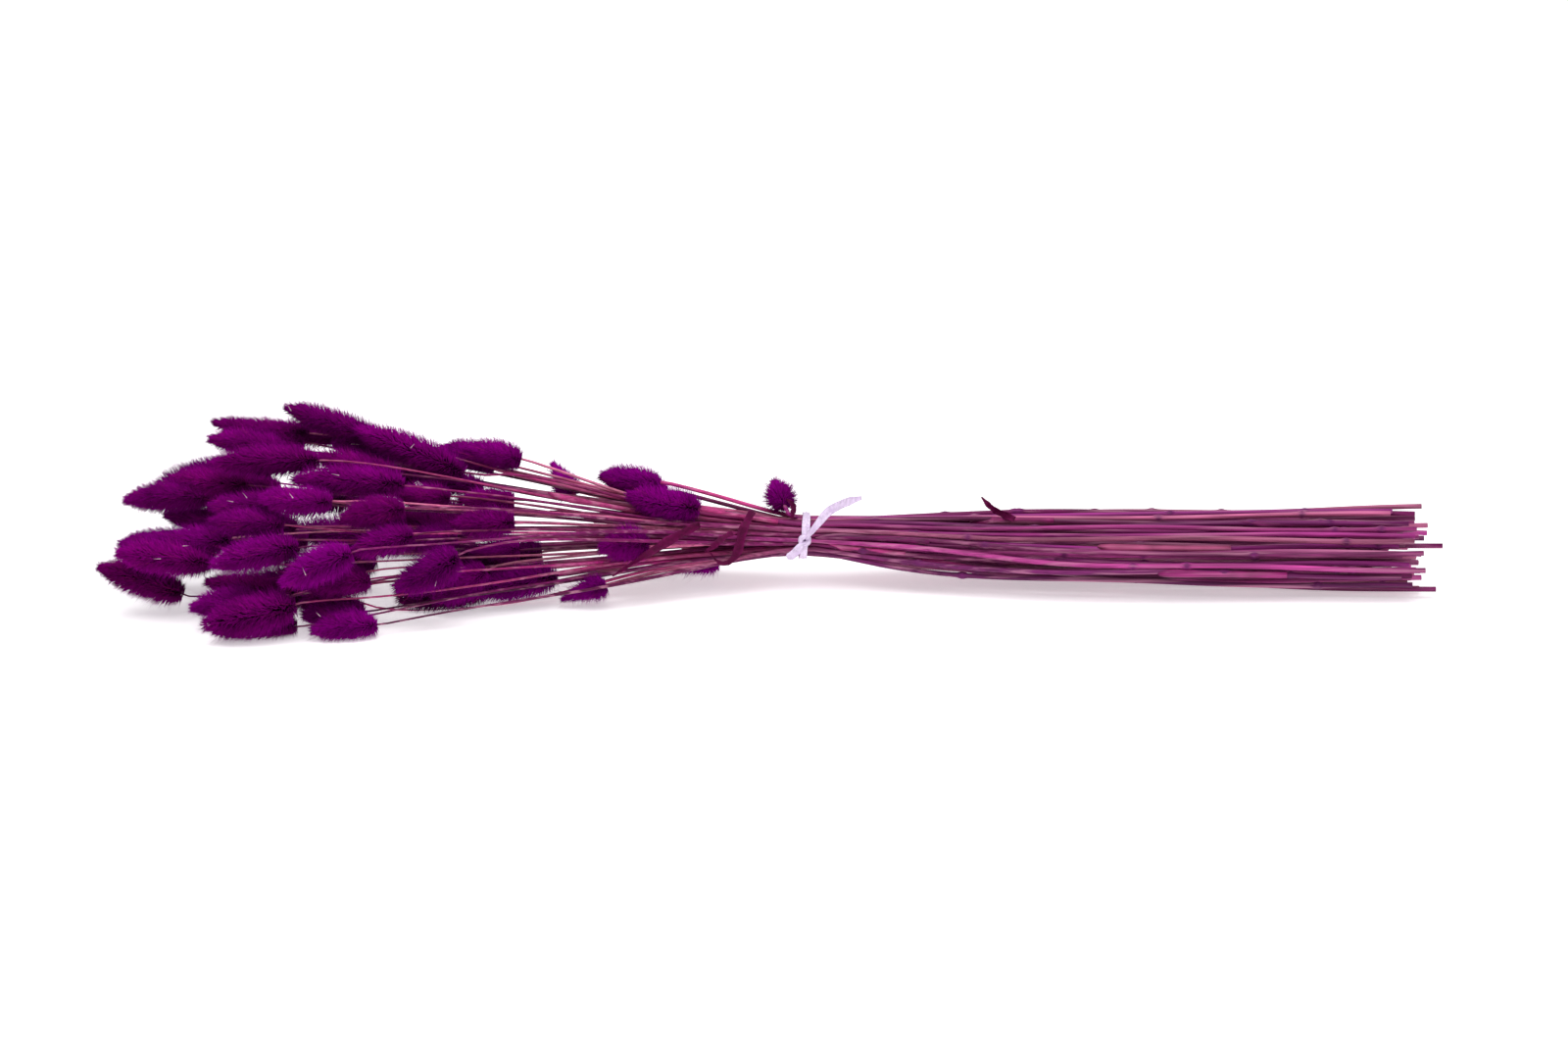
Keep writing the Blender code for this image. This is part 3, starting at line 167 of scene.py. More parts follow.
# The strip that ties the stems, with its knot on the near side
STRIP_WIDTH = 3.4
STRIP_THICKNESS = 0.8
BAND_WAVE = 0.9
KNOT_HALF_SIZES = (2.6, 1.7, 2.2)
KNOT_STAND_OFF = 0.9
KNOT_RISE = 2.3
LONG_END = ((822, 550, -15.6), (830, 541, -17.5), (837, 532, -18.0), (844, 522, -17.0),
            (855, 515, -15.0), (868, 510, -13.0), (879, 508, -12.0))
SHORT_END = ((820, 553, -15.6), (815, 560, -17.0), (809, 565, -17.5), (803, 569, -17.0))

# The dried leaves: width, and the route of the middle from where it rests on the stems to its tip
LEAF_THICKNESS = 0.7
LEAF_REACH = 2.5
LEAF_GAP = 0.4
LEAF_SLIDE = (-3.0, 6.0, 0.1)
NEAREST_DEPTH = -90.0
DEEPEST_DEPTH = 60.0
DEPTH_STEP = 0.25
LEAF_TAPER = 0.75
LEAF_FOOT_WIDTH = 0.7
Leaf = namedtuple("Leaf", "name width route")
LEAVES = (
    Leaf("leaf_hanging", 4.4, ((714, 535), (703, 540), (690, 547), (680, 553), (670, 560),
                               (660, 566), (650, 572), (638, 580), (625, 588))),
    Leaf("leaf_crown", 4.6, ((768, 522), (763, 531), (758, 541), (756, 551), (753, 561),
                             (748, 570), (740, 575), (732, 573), (725, 564))),
    Leaf("leaf_folded", 3.6, ((748, 544), (740, 548), (733, 553), (726, 559), (719, 563))),
    Leaf("leaf_by_tuft", 3.0, ((808, 529), (810, 523), (810, 517), (807, 512), (802, 509))),
    Leaf("leaf_low", 4.0, ((1036, 530), (1026, 525), (1016, 520), (1008, 514), (1002, 507))),
)

Seen = namedtuple("Seen", "tip_column tip_row base_column base_row width layer")

# The heads that show: column and row of the tip, then of the base, the width in pixels and the layer.
# Layer 0 lies in front, 2 farthest in, and ON_TABLE marks the heads that rest on the table.
SEEN_HEADS = [Seen(*row) for row in (
    (219, 431, 315, 440, 17, 1), (215, 448, 288, 457, 18, 1), (240, 447, 310, 453, 17, 2),
    (255, 438, 350, 450, 16, 2), (293, 417, 385, 450, 21, 0), (363, 438, 475, 473, 25, 0),
    (343, 453, 407, 462, 18, 2), (452, 458, 504, 479, 20, 1), (478, 461, 531, 470, 22, 0),
    (215, 473, 325, 470, 25, 0), (323, 463, 409, 472, 20, 1), (177, 488, 252, 493, 22, 1),
    (226, 493, 285, 499, 18, 2), (300, 490, 412, 494, 22, 0), (420, 486, 494, 489, 17, 1),
    (129, 511, 214, 510, 24, 0), (170, 524, 235, 533, 18, 2), (216, 517, 290, 508, 19, 1),
    (217, 531, 289, 533, 21, 0), (267, 511, 338, 512, 21, 0), (350, 528, 412, 520, 22, 0),
    (405, 505, 458, 512, 19, 1), (472, 510, 524, 509, 18, 1), (464, 537, 524, 530, 22, 0),
    (125, 553, 205, 550, 19, 1), (121, 565, 215, 575, 25, 0), (153, 562, 236, 551, 24, 1),
    (208, 590, 290, 598, 22, 2), (217, 577, 304, 563, 26, 0), (360, 563, 421, 549, 25, 0),
    (288, 592, 358, 564, 28, 0), (102, 578, 186, 606, 28, 0), (197, 620, 262, 612, 24, 1),
    (209, 638, 301, 617, 32, 0), (220, 645, 302, 636, 22, ON_TABLE), (311, 643, 371, 611, 28, ON_TABLE),
    (320, 645, 384, 636, 23, ON_TABLE), (320, 600, 377, 592, 21, 1), (300, 604, 352, 622, 21, 2),
    (405, 601, 467, 568, 29, 0), (447, 613, 493, 578, 24, 1), (410, 552, 466, 545, 21, 2),
    (480, 607, 569, 591, 25, 1), (485, 568, 529, 562, 20, 2), (577, 599, 617, 588, 21, 0),
    (615, 562, 661, 550, 26, 0), (614, 491, 673, 496, 21, 1), (628, 501, 680, 500, 18, 2),
    (642, 508, 713, 523, 27, 0), (570, 483, 578, 501, 24, 1), (692, 578, 732, 571, 13, 1),
    (791, 491, 798, 521, 28, 0),
)]

Plants = namedtuple("Plants", "bases tips radii slots cut_ends")
Rods = namedtuple("Rods", "starts ends radii plants is_head")


SIGHT = np.array([0.0, math.cos(CAMERA_TILT), -math.sin(CAMERA_TILT)])
CAMERA_PLACE = np.array([
    (CENTRE_COLUMN - ORIGIN_COLUMN) * MM_PER_PIXEL,
    0.0,
    (TABLE_ROW - CENTRE_ROW) * MM_PER_PIXEL / math.cos(CAMERA_TILT),
]) - CAMERA_DISTANCE * SIGHT


def seen_at(column, row, depth):
    """The point that the picture shows at this pixel, at this depth along Y."""
    upward = np.array([0.0, math.sin(CAMERA_TILT), math.cos(CAMERA_TILT)])
    across = (column - CENTRE_COLUMN) * MM_PER_PIXEL
    above = (CENTRE_ROW - row) * MM_PER_PIXEL
    ray = CAMERA_DISTANCE * SIGHT + above * upward + np.array([across, 0.0, 0.0])
    return CAMERA_PLACE + ray * (depth - CAMERA_PLACE[1]) / ray[1]


def along_x(column):
    return (column - ORIGIN_COLUMN) * MM_PER_PIXEL


TIE_X = along_x(TIE_COLUMN)


def near_side_depth(column, row):
    """The depth of the heap's near side where the picture shows it at this pixel."""
    height = np.interp(column, FAN_COLUMNS, FAN_HEIGHTS)
    half_depth = np.interp(column, FAN_COLUMNS, FAN_HALF_DEPTHS)
    for depth in np.arange(-half_depth, half_depth, 1.0):
        level = np.clip(seen_at(column, row, depth)[2] / height, 0.0, 1.0)
        if depth >= -half_depth * math.sqrt(1 - level**2):
            return depth
    return 0.0


def table_depth(column, row, height):
    """The depth at which the line of sight through this pixel is this high above the table."""
    near = seen_at(column, row, 0.0)
    far = seen_at(column, row, 1.0)
    return (height - near[2]) / (far[2] - near[2])


def seen_plant(head):
    """Base, tip and radius of a head that shows, turned in depth as the fan spreads from the tie."""
    column = (head.tip_column + head.base_column) / 2
    row = (head.tip_row + head.base_row) / 2
    radius = head.width * WIDER * MM_PER_PIXEL / 2
    if head.layer == ON_TABLE:
        depth = table_depth(column, row, radius - TABLE_PRESS)
    else:
        depth = near_side_depth(column, row) + head.layer * LAYER_SETBACK
    spread = HEAD_SPREAD * depth / (column - TIE_COLUMN) / MM_PER_PIXEL
    half = (head.base_column - head.tip_column) / 2 * MM_PER_PIXEL
    base = seen_at(head.base_column, head.base_row, depth + spread * half)
    tip = seen_at(head.tip_column, head.tip_row, depth - spread * half)
    shown = np.linalg.norm(tip - base)
    if shown < SHORTEST_HEAD:
        # A head that looks shorter than any real one points away from the camera.
        away = math.sqrt(SHORTEST_HEAD**2 - shown**2)
        tip = seen_at(head.tip_column, head.tip_row, depth + away)
    if head.layer == ON_TABLE:
        base[2] = radius - TABLE_PRESS
        tip[2] = radius - TABLE_PRESS
    return base, tip, radius


def hidden_plant(index, draw):
    """A head inside the fan or on its far side, spread evenly by two golden sequences."""
    along, around = ((index * step + first) % 1 for step, first in HIDDEN_PLACES)
    column = HIDDEN_COLUMNS[0] + along * (HIDDEN_COLUMNS[1] - HIDDEN_COLUMNS[0])
    height = np.interp(column, FAN_COLUMNS, FAN_HEIGHTS)
    half_depth = np.interp(column, FAN_COLUMNS, FAN_HALF_DEPTHS)
    angle = math.pi * around
    # On the near side it lies inside the heads that show, and on the far side it may lie farther out.
    inset = draw.uniform(*(HIDDEN_NEAR_INSET if angle < math.pi / 2 else HIDDEN_FAR_INSET))
    middle = np.array([
        along_x(column),
        half_depth * inset * math.cos(angle),
        height * inset * HIDDEN_HEIGHT * math.sin(angle),
    ])
    length = draw.uniform(*HIDDEN_HEAD_LENGTHS)
    radius = draw.uniform(*HIDDEN_HEAD_WIDTHS) / 2
    rise = draw.uniform(*HIDDEN_RISE)
    middle[2] = max(middle[2], radius)
    if index < len(FAR_ON_TABLE):
        column, depth = FAR_ON_TABLE[index]
        middle = np.array([along_x(column), depth, radius - TABLE_PRESS])
        rise = 0.0
    run = middle[0] - TIE_X
    lean = np.array([-1.0, -HIDDEN_SPREAD * middle[1] / run, rise])
    lean /= np.linalg.norm(lean)
    return middle - lean * length / 2, middle + lean * length / 2, radius


def headless_plant(index):
    """A stem that broke off in the fan, as a base and a tip that lie together and have no size."""
    end = seen_at(*(first + step * index for first, step in zip(HEADLESS_FIRST, HEADLESS_STEP)))
    return end, end - np.array([1.0, 0.0, 0.0]), 0.0


def tie_slots(count):
    """The places of the stems in the tie: the closest packing, in an oval."""
    places = []
    for row in range(-SLOTS_EACH_WAY, SLOTS_EACH_WAY):
        for place in range(-SLOTS_EACH_WAY, SLOTS_EACH_WAY + 1):
            y = (place + 0.5 * (row % 2)) * STEM_PITCH
            z = (row + 0.5) * STEM_PITCH * math.sqrt(3) / 2
            places.append((y, z, row))
    places.sort(key=lambda p: (p[0] / WAIST_HALF_DEPTH) ** 2 + (p[1] / WAIST_HALF_HEIGHT) ** 2)
    return sorted(places[:count], key=lambda p: (p[2], p[0]))


def matched(slots, directions):
    """Gives each direction the slot that keeps the stems from crossing: the least sum of squares."""
    order = np.lexsort((directions[:, 0], np.round(directions[:, 1] * SORTING_ROWS)))
    slot_of = np.empty(len(slots), int)
    slot_of[order] = np.arange(len(slots))
    improved = True
    while improved:
        improved = False
        for i in range(len(slots)):
            own = np.sum((slots[slot_of[i]] - directions[i]) ** 2)
            theirs = np.sum((slots[slot_of] - directions) ** 2, axis=1)
            swapped = np.sum((slots[slot_of] - directions[i]) ** 2, axis=1)
            swapped += np.sum((slots[slot_of[i]] - directions) ** 2, axis=1)
            saving = own + theirs - swapped
            saving[i] = 0.0
            best = int(np.argmax(saving))
            if saving[best] > TINIEST:
                slot_of[[i, best]] = slot_of[[best, i]]
                improved = True
    return slot_of


def scaled(values):
    return (values - values.mean(axis=0)) / values.std(axis=0)


def cut_end(slot, draw):
    """Where a stem is cut: its place in the tie, spread to the wider bundle."""
    column = draw.uniform(*CUT_COLUMNS)
    if draw.random() < LONG_CUT_SHARE:
        column = draw.uniform(CUT_COLUMNS[1], LONG_CUT_COLUMN)
    return spread_place(slot, along_x(column), draw.normal(0.0, 1.0, 2))


def spread_place(slot, x, drift):
    distance = x - TIE_X
    half_depth = np.interp(distance, CUT_DISTANCES, CUT_HALF_DEPTHS)
    half_height = np.interp(distance, CUT_DISTANCES, CUT_HALF_HEIGHTS)
    middle = np.interp(distance, CUT_DISTANCES, CUT_MIDDLES)
    y = (slot[0] / WAIST_HALF_DEPTH + drift[0] * SIDEWAYS_DRIFT) * half_depth
    z = middle + (slot[1] / WAIST_HALF_HEIGHT + drift[1] * UPWARD_DRIFT) * half_height
    return np.array([x, y, max(z, stem_radius(x))])


def stem_radius(x):
    return np.interp(x - TIE_X, RADIUS_DISTANCES, STEM_RADII)


def plants_in_place():
    draw = np.random.default_rng(SEED)
    made = [seen_plant(head) for head in SEEN_HEADS]
    made += [hidden_plant(index, draw) for index in range(HIDDEN_HEADS)]
    made += [headless_plant(index) for index in range(STEMS_WITHOUT_HEAD)]
    bases = np.array([plant[0] for plant in made])
    tips = np.array([plant[1] for plant in made])
    radii = np.array([plant[2] for plant in made])
    run = np.maximum(TIE_X - bases[:, 0], LEAST_RUN)
    directions = np.column_stack([bases[:, 1] / run, (bases[:, 2] - TIE_HEIGHT) / run])
    places = tie_slots(len(made))
    slots = np.array(places)[:, :2]
    slot_of = matched(scaled(slots), scaled(directions))
    ends = np.array([cut_end(slots[slot_of[i]], draw) for i in range(len(made))])
    return Plants(bases, tips, radii, np.array(places)[slot_of], ends)


def hermite(start, end, start_slope, end_slope, x):
    """Height or depth at x on the cubic between two points with given slopes."""
    run = end[0] - start[0]
    t = (x - start[0]) / run
    return (
        (2 * t**3 - 3 * t**2 + 1) * start[1]
        + (t**3 - 2 * t**2 + t) * run * start_slope
        + (3 * t**2 - 2 * t**3) * end[1]
        + (t**3 - t**2) * run * end_slope
    )


def stations_above(base):
    """The distances from the tie at which a stem has points on its way to this head."""
    clear = base[0] + STATION_CLEAR - TIE_X
    return [distance for distance in UPPER_STATIONS if distance > clear]


def upper_route(base, tip, slot, stations):
    """A stem's points from under the head to the tie."""
    in_tie = np.array([TIE_X - TIE_HALF_LENGTH, slot[0], TIE_HEIGHT + slot[1]])
    toward = (base - tip) / np.linalg.norm(base - tip)
    points = [base + toward * GAP, base + toward * (GAP + NECK_LENGTH)]
    for distance in stations:
        x = TIE_X + distance
        point = [x]
        for axis in (1, 2):
            chord = (in_tie[axis] - base[axis]) / (in_tie[0] - base[0])
            slope = np.clip(toward[axis] / max(toward[0], LEAST_FORWARD), -STEEPEST, STEEPEST)
            start = (base[0], base[axis])
            finish = (in_tie[0], in_tie[axis])
            point.append(hermite(start, finish, 0.5 * slope + 0.5 * chord, 0.5 * chord, x))
        points.append(np.array(point))
    points.append(in_tie)
    return points


def lower_route(slot, end, drift):
    """A stem's points from the tie to where it is cut."""
    points = [np.array([TIE_X + TIE_HALF_LENGTH, slot[0], TIE_HEIGHT + slot[1]])]
    for k, distance in enumerate(LOWER_STATIONS):
        points.append(spread_place(slot, TIE_X + distance, drift[k]))
    return points + [end]


def closest_on_rods(p, q, r, s):
    """How far along segments p-q and r-s their nearest points lie, from 0 to 1."""
    along = q - p
    other = s - r
    between = p - r
    a = np.sum(along * along, axis=1)
    e = np.sum(other * other, axis=1)
    f = np.sum(other * between, axis=1)
    c = np.sum(along * between, axis=1)
    b = np.sum(along * other, axis=1)
    spread = np.maximum(a * e - b * b, TINIEST)
    on_first = np.clip((b * f - c * e) / spread, 0.0, 1.0)
    on_second = np.clip((b * on_first + f) / e, 0.0, 1.0)
    on_first = np.clip((b * on_second - c) / a, 0.0, 1.0)
    return on_first, on_second


def nearest_on(start, along, place):
    """The point of each segment that lies nearest to a place."""
    share = np.sum((place - start) * along, axis=1) / np.sum(along * along, axis=1)
    return start + along * np.clip(share, 0.0, 1.0)[:, None]


def head_core(base, tip, radius):
    """The two ends of the axis of the round-ended rod that holds a head."""
    axis = (tip - base) / np.linalg.norm(tip - base)
    return base + axis * radius * CORE_BASE, tip - axis * radius * CORE_TIP


class Layout:
    """Every stem and head as rods between points, which are moved until none lies in another."""

    def __init__(self):
        draw = np.random.default_rng(SEED + 1)
        plants = plants_in_place()
        self.plants = plants
        self.heads = [i for i, radius in enumerate(plants.radii) if radius > 0]
        self.points = []
        self.freedom = []
        self.stem_points = []
        self.stations = [stations_above(base) for base in plants.bases]
        self.head_points = {}
        rods = []
        for i, base in enumerate(plants.bases):
            drift = draw.normal(0.0, 1.0, (len(LOWER_STATIONS), 2))
            route = upper_route(base, plants.tips[i], plants.slots[i], self.stations[i])
            route += lower_route(plants.slots[i], plants.cut_ends[i], drift)
            first = len(self.points)
            indices = list(range(first, first + len(route)))
            self.stem_points.append(indices)
            for point in route:
                self.points.append(point)
                in_tie = abs(point[0] - TIE_X) < TIE_HALF_LENGTH + 1
                self.freedom.append((0.0, 0.0, 0.0) if in_tie else (0.0, 1.0, 1.0))
            for a, b in zip(indices[:-1], indices[1:]):
                middle = (route[a - first][0] + route[b - first][0]) / 2
                rods.append((a, b, stem_radius(middle) + STEM_SKIN, i, False))
            if plants.radii[i] > 0:
                low, high = head_core(base, plants.tips[i], plants.radii[i])
                self.points += [low, high]
                on_table = max(low[2], high[2]) < plants.radii[i] + TABLE_LIFT
                free = SEEN_FREEDOM if i < len(SEEN_HEADS) else HIDDEN_FREEDOM
                self.freedom += [TABLE_FREEDOM if on_table else free] * 2
                ends = (len(self.points) - 2, len(self.points) - 1)
                self.head_points[i] = ends
                rods.append((*ends, plants.radii[i], i, True))
        self.points = np.array(self.points)
        self.rest = self.points.copy()
        self.freedom = np.array(self.freedom)
        starts, ends, radii, owners, is_head = zip(*rods)
        self.rods = Rods(*(np.array(v) for v in (starts, ends, radii, owners, is_head)))
        self.partners = set()
        self.groups = np.arange(len(self.rods.starts))
        count = len(plants.radii)
        # Each stem's turn about its own line, which only a faceted stem needs
        draw.uniform(size=count)
        self.knuckles = along_x(draw.uniform(*KNUCKLE_COLUMNS, count))
        self.knuckles[draw.random(count) > KNUCKLE_SHARE] = FAR_AWAY

    def nearby_pairs(self):
        """The pairs of rods that may meet, without those of one plant or of one group of heads."""
        rods = self.rods
        middles = (self.points[rods.starts] + self.points[rods.ends]) / 2
        halves = np.linalg.norm(self.points[rods.starts] - self.points[rods.ends], axis=1) / 2
        first, second = np.triu_indices(len(rods.starts), 1)
        reach = halves[first] + halves[second] + rods.radii[first] + rods.radii[second]
        near = np.linalg.norm(middles[first] - middles[second], axis=1) < reach + NEARBY
        near &= rods.plants[first] != rods.plants[second]
        near &= self.groups[first] != self.groups[second]
        return first[near], second[near]

    def room_between(self, first, second):
        """The gap to keep between the surfaces of each pair of rods."""
        some_head = self.rods.is_head[first] | self.rods.is_head[second]
        both_heads = self.rods.is_head[first] & self.rods.is_head[second]
        return np.where(both_heads, HEAD_GAP, np.where(some_head, GAP, STEM_GAP))

    def radii_at(self, rods, places):
        """The radius of each rod at a place on it: a stem's grows from its head to its cut."""
        return np.where(self.rods.is_head[rods], self.rods.radii[rods], stem_radius(places[:, 0]))

    def nearest_places(self, first, second):
        """How far along the two rods of each pair their nearest points lie, and those points."""
        rods = self.rods
        p, q = self.points[rods.starts[first]], self.points[rods.ends[first]]
        r, s = self.points[rods.starts[second]], self.points[rods.ends[second]]
        on_first, on_second = closest_on_rods(p, q, r, s)
        return on_first, on_second, p + (q - p) * on_first[:, None], r + (s - r) * on_second[:, None]

    def separate(self, first, second, wanted, pull):
        """Moves each pair of rods to its wanted gap or, with pull set, its wanted distance."""
        rods = self.rods
        on_first, on_second, here, there = self.nearest_places(first, second)
        gap = here - there
        distance = np.maximum(np.linalg.norm(gap, axis=1), TINY)
        if not pull:
            wanted = wanted + self.radii_at(first, here) + self.radii_at(second, there)
        short = wanted - distance
        if not pull:
            short = np.maximum(short, 0.0)
        moved = short > TINY if not pull else np.ones(len(short), bool)
        push = (gap / distance[:, None] * short[:, None] * PUSH_SHARE)[moved]
        weights = (
            (rods.starts[first], 1 - on_first, 1.0),
            (rods.ends[first], on_first, 1.0),
            (rods.starts[second], 1 - on_second, -1.0),
            (rods.ends[second], on_second, -1.0),
        )
        total = np.zeros_like(self.points)
        count = np.zeros(len(self.points))
        for index, weight, sign in weights:
            # A rod that is pushed near one end turns, so the share grows towards the nearer end.
            share = PUSH_WHOLE + (1 - PUSH_WHOLE) * weight[moved]
            np.add.at(total, index[moved], sign * push * share[:, None])
            np.add.at(count, index[moved], 1.0)
        self.points += total / np.maximum(count, 1.0)[:, None] ** PUSH_CALM * self.freedom

    def tidy_up(self, hold):
        """Keeps each head's length, each stem's top at its head, and everything above the table."""
        for i, (low, high) in self.head_points.items():
            middle = (self.points[low] + self.points[high]) / 2
            axis = self.points[high] - self.points[low]
            length = np.linalg.norm(self.rest[high] - self.rest[low])
            axis *= length / max(np.linalg.norm(axis), TINY)
            lowest = self.plants.radii[i] - TABLE_PRESS
            self.points[low] = middle - axis / 2
            self.points[high] = middle + axis / 2
            for end in (low, high):
                self.points[end] += (self.rest[end] - self.points[end]) * hold * HEAD_HOLD
            self.points[low][2] = max(self.points[low][2], lowest)
            self.points[high][2] = max(self.points[high][2], lowest)
            outward = axis / length
            back = self.plants.radii[i] * CORE_BASE + GAP
            self.points[self.stem_points[i][0]] = self.points[low] - outward * back
            self.points[self.stem_points[i][1]] = self.points[low] - outward * (back + NECK_LENGTH)
        for indices in self.stem_points:
            for index in indices[2:]:
                point = self.points[index]
                point += (self.rest[index] - point) * hold * self.freedom[index]
                point[2] = max(point[2], stem_radius(point[0]) - STEM_SKIN)

    def follow_heads(self):
        """Redraws the smooth way of each stem to where its head now lies."""
        for i in self.heads:
            base, tip, _ = self.head(i)
            route = upper_route(base, tip, self.plants.slots[i], self.stations[i])
            self.rest[self.stem_points[i][:len(route)]] = route

    def settle(self, rounds, hold):
        """Moves apart what overlaps, while a hold draws everything back to its own smooth place."""
        for turn in range(rounds):
            if turn % NEIGHBOURS_AGAIN == 0:
                if hold > 0:
                    self.follow_heads()
                first, second = self.nearby_pairs()
                room = self.room_between(first, second)
            self.separate(first, second, room, False)
            for _ in range(PULLS if self.partners else 0):
                self.draw_together()
            self.tidy_up(hold)

    def draw_together(self):
        """Brings the heads that are joined side by side to where they reach into each other."""
        first, second = np.array(sorted(self.partners)).T
        self.separate(first, second, self.fused_distance(first, second), True)

    def fused_distance(self, first, second):
        """How near the axes of two heads must come for the heads to reach well into each other."""
        wanted = -FUSED_DEPTH
        for rod, share in zip((first, second), self.nearest_places(first, second)):
            radius = self.rods.radii[rod]
            core = self.points[self.rods.ends[rod]] - self.points[self.rods.starts[rod]]
            core = np.linalg.norm(core, axis=1)
            t = (CORE_BASE * radius + share * core) / (core + (CORE_BASE + CORE_TIP) * radius)
            wanted = wanted + radius * head_profile(t)
        return wanted

    def stem_distances(self, places, first, second):
        """How far each place is from the nearest stem of a plant other than the two heads' own."""
        rods = self.rods
        stems = np.flatnonzero(~rods.is_head)
        nearest = np.empty(len(places))
        for k, place in enumerate(places):
            owners = rods.plants[stems]
            others = stems[(owners != rods.plants[first[k]]) & (owners != rods.plants[second[k]])]
            start = self.points[rods.starts[others]]
            along = self.points[rods.ends[others]] - start
            nearest[k] = np.linalg.norm(place - nearest_on(start, along, place), axis=1).min()
        return nearest

    def group_heads(self):
        """Pairs the heads that lie closest until they fit in their nodes, and returns the groups."""
        rods = self.rods
        head_rods = np.flatnonzero(rods.is_head)
        first, second = np.triu_indices(len(head_rods), 1)
        first, second = head_rods[first], head_rods[second]
        on_first, on_second, here, there = self.nearest_places(first, second)
        clear = np.linalg.norm(here - there, axis=1) - rods.radii[first] - rods.radii[second]
        # Hidden heads are joined first, and none near their tips or where a stem runs between them.
        seen = sum((rods.plants[rod] < len(SEEN_HEADS)).astype(int) for rod in (first, second))
        clear += SEEN_PAIR_COST * seen**2
        lowest, highest = ALONG_HEAD
        near_end = np.maximum(on_first, on_second) > highest
        near_end |= np.minimum(on_first, on_second) < lowest
        clear += np.where(near_end, NEAR_TIP_COST, 0.0)
        close = clear < FARTHEST_PAIR
        first, second, clear = first[close], second[close], clear[close]
        meeting = (here + there)[close] / 2
        clear[self.stem_distances(meeting, first, second) < STEM_ROOM] += FARTHEST_PAIR
        for k in np.argsort(clear, kind="stable"):
            a, b = int(first[k]), int(second[k])
            if len(head_rods) - len(self.partners) <= HEAD_NODES:
                break
            own = np.flatnonzero(self.groups == self.groups[a])
            theirs = np.flatnonzero(self.groups == self.groups[b])
            if self.groups[a] != self.groups[b] and len(own) + len(theirs) <= MOST_IN_GROUP:
                self.partners.add((a, b))
                self.groups[theirs] = self.groups[a]
        groups = [rods.plants[self.groups == group] for group in set(self.groups[head_rods])]
        return sorted(tuple(int(i) for i in group) for group in groups)

    def head(self, i):
        """Base, tip and radius of a head where it came to lie."""
        low, high = (self.points[index] for index in self.head_points[i])
        radius = self.plants.radii[i]
        axis = (high - low) / np.linalg.norm(high - low)
        return low - axis * radius * CORE_BASE, high + axis * radius * CORE_TIP, radius

    def stem(self, i):
        return self.points[self.stem_points[i]]

    def clearance(self, place):
        """How far a place lies from the surface of the nearest rod."""
        start = self.points[self.rods.starts]
        along = self.points[self.rods.ends] - start
        foot = nearest_on(start, along, place)
        return float((np.linalg.norm(place - foot, axis=1) - self.rods.radii).min())


def head_profile(t):
    """A head's radius as a share of its widest, from base to tip."""
    shifted = t**WIDEST_SHIFT
    return (1 - abs(2 * shifted - 1) ** SIDE_ROUNDNESS) ** END_ROUNDNESS


def frame_across(direction):
    """Two unit vectors across a direction, the second as near upright as it can be."""
    direction = direction / np.linalg.norm(direction)
    upright = np.array([0.0, 0.0, 1.0])
    if abs(direction[2]) > NEARLY_UPRIGHT:
        upright = np.array([0.0, 1.0, 0.0])
    side = np.cross(direction, upright)
    side /= np.linalg.norm(side)
    return side, np.cross(side, direction)


def laid_on(layout, column, row, width, deepest):
    """The place at this pixel where a strip first meets what lies behind it, or the deepest allowed."""
    side = np.array([width / 2, 0.0, 0.0])
    above = np.array([0.0, 0.0, width / 2])
    place = seen_at(column, row, NEAREST_DEPTH)
    for depth in np.arange(NEAREST_DEPTH, deepest, DEPTH_STEP):
        following = seen_at(column, row, depth)
        around = [following, following + side, following - side, following + above, following - above]
        if min(layout.clearance(p) for p in around) < LEAF_THICKNESS / 2 + LEAF_GAP:
            return place
        place = following
    return place


# The layout is moved by this much to stand over the origin
SHIFT = np.array([1.1611, 14.2061, 0.0])

# Fur: a short core dyed with painted shade, then coats of closed spikes that lean to the head's tip,
# their roots darkened with painted shade, then a few long awns.
# A coat has a count, a range of widths, and how far it stands off the head: the mean and the spread.
Coat = namedtuple("Coat", "count widths stand spread")
TUFT_COAT = Coat(1900, (0.4, 0.7), 1.5, 1.0)
HAIR_COAT = Coat(1000, (0.14, 0.26), 3.2, 1.3)
AWNS = 45
AWN_WIDTHS = (0.14, 0.24)
AWN_LENGTHS = (8.0, 13.0)
AWN_PLACES = (0.05, 0.9)
AWN_SPREAD = (0.3, 0.9)
AWN_TONES = (0.6, 1.8)
HIDDEN_STAND = 3.6
HIDDEN_SHARE = 0.9
# A hidden head's dye is multiplied by this, as painted shade
HIDDEN_SHADE_TONE = 0.55
HEAD_TONES = (0.78, 1.22)
HAIR_TONES = (0.75, 1.2)
REDDEST = 0.65
CORE_SHARE = 0.62
CORE_SIDES = 12
CORE_RINGS = 12
CORE_ENDS = (0.02, 0.94)
ROOT_SHARE = 0.94
LEAN = 3.3
LEAN_AT_BASE = -0.6
LEAN_REACHED = 0.3
LEAN_VARIES = (0.7, 1.25)
TIP_CLOSING = 0.4
CLOSES_FROM = 0.9
CLOSES_OVER = 0.16
LEAST_STAND = 0.5
STAND_ENDS_FROM = 0.7
STAND_ENDS_OVER = 0.3
COAT_PLACES = (0.02, 0.97)
# How much of its tip's dye a spike keeps at its root; the rest is painted shade
ROOT_DYE_SHARE = 0.25
HAIR_DYE_SHARE = 0.6
SWAY = 0.12
RUFFLE = 0.11
GOLDEN_ANGLE = math.pi * (3 - math.sqrt(5))
ANGLE_JITTER = 0.08
NORMAL_LEVEL = 0.45
NORMAL_TURN = 1.7
NORMAL_SLOPES = (-0.9, 1.3)
SPREAD_LEVELS = 60
SPREAD_AT_ENDS = 0.25
BEND = (0.3, 1.7)
TAPER = (-0.05, 0.22)
TUFT_TAPER = 0.85
FLOOR_ROOM = 0.1
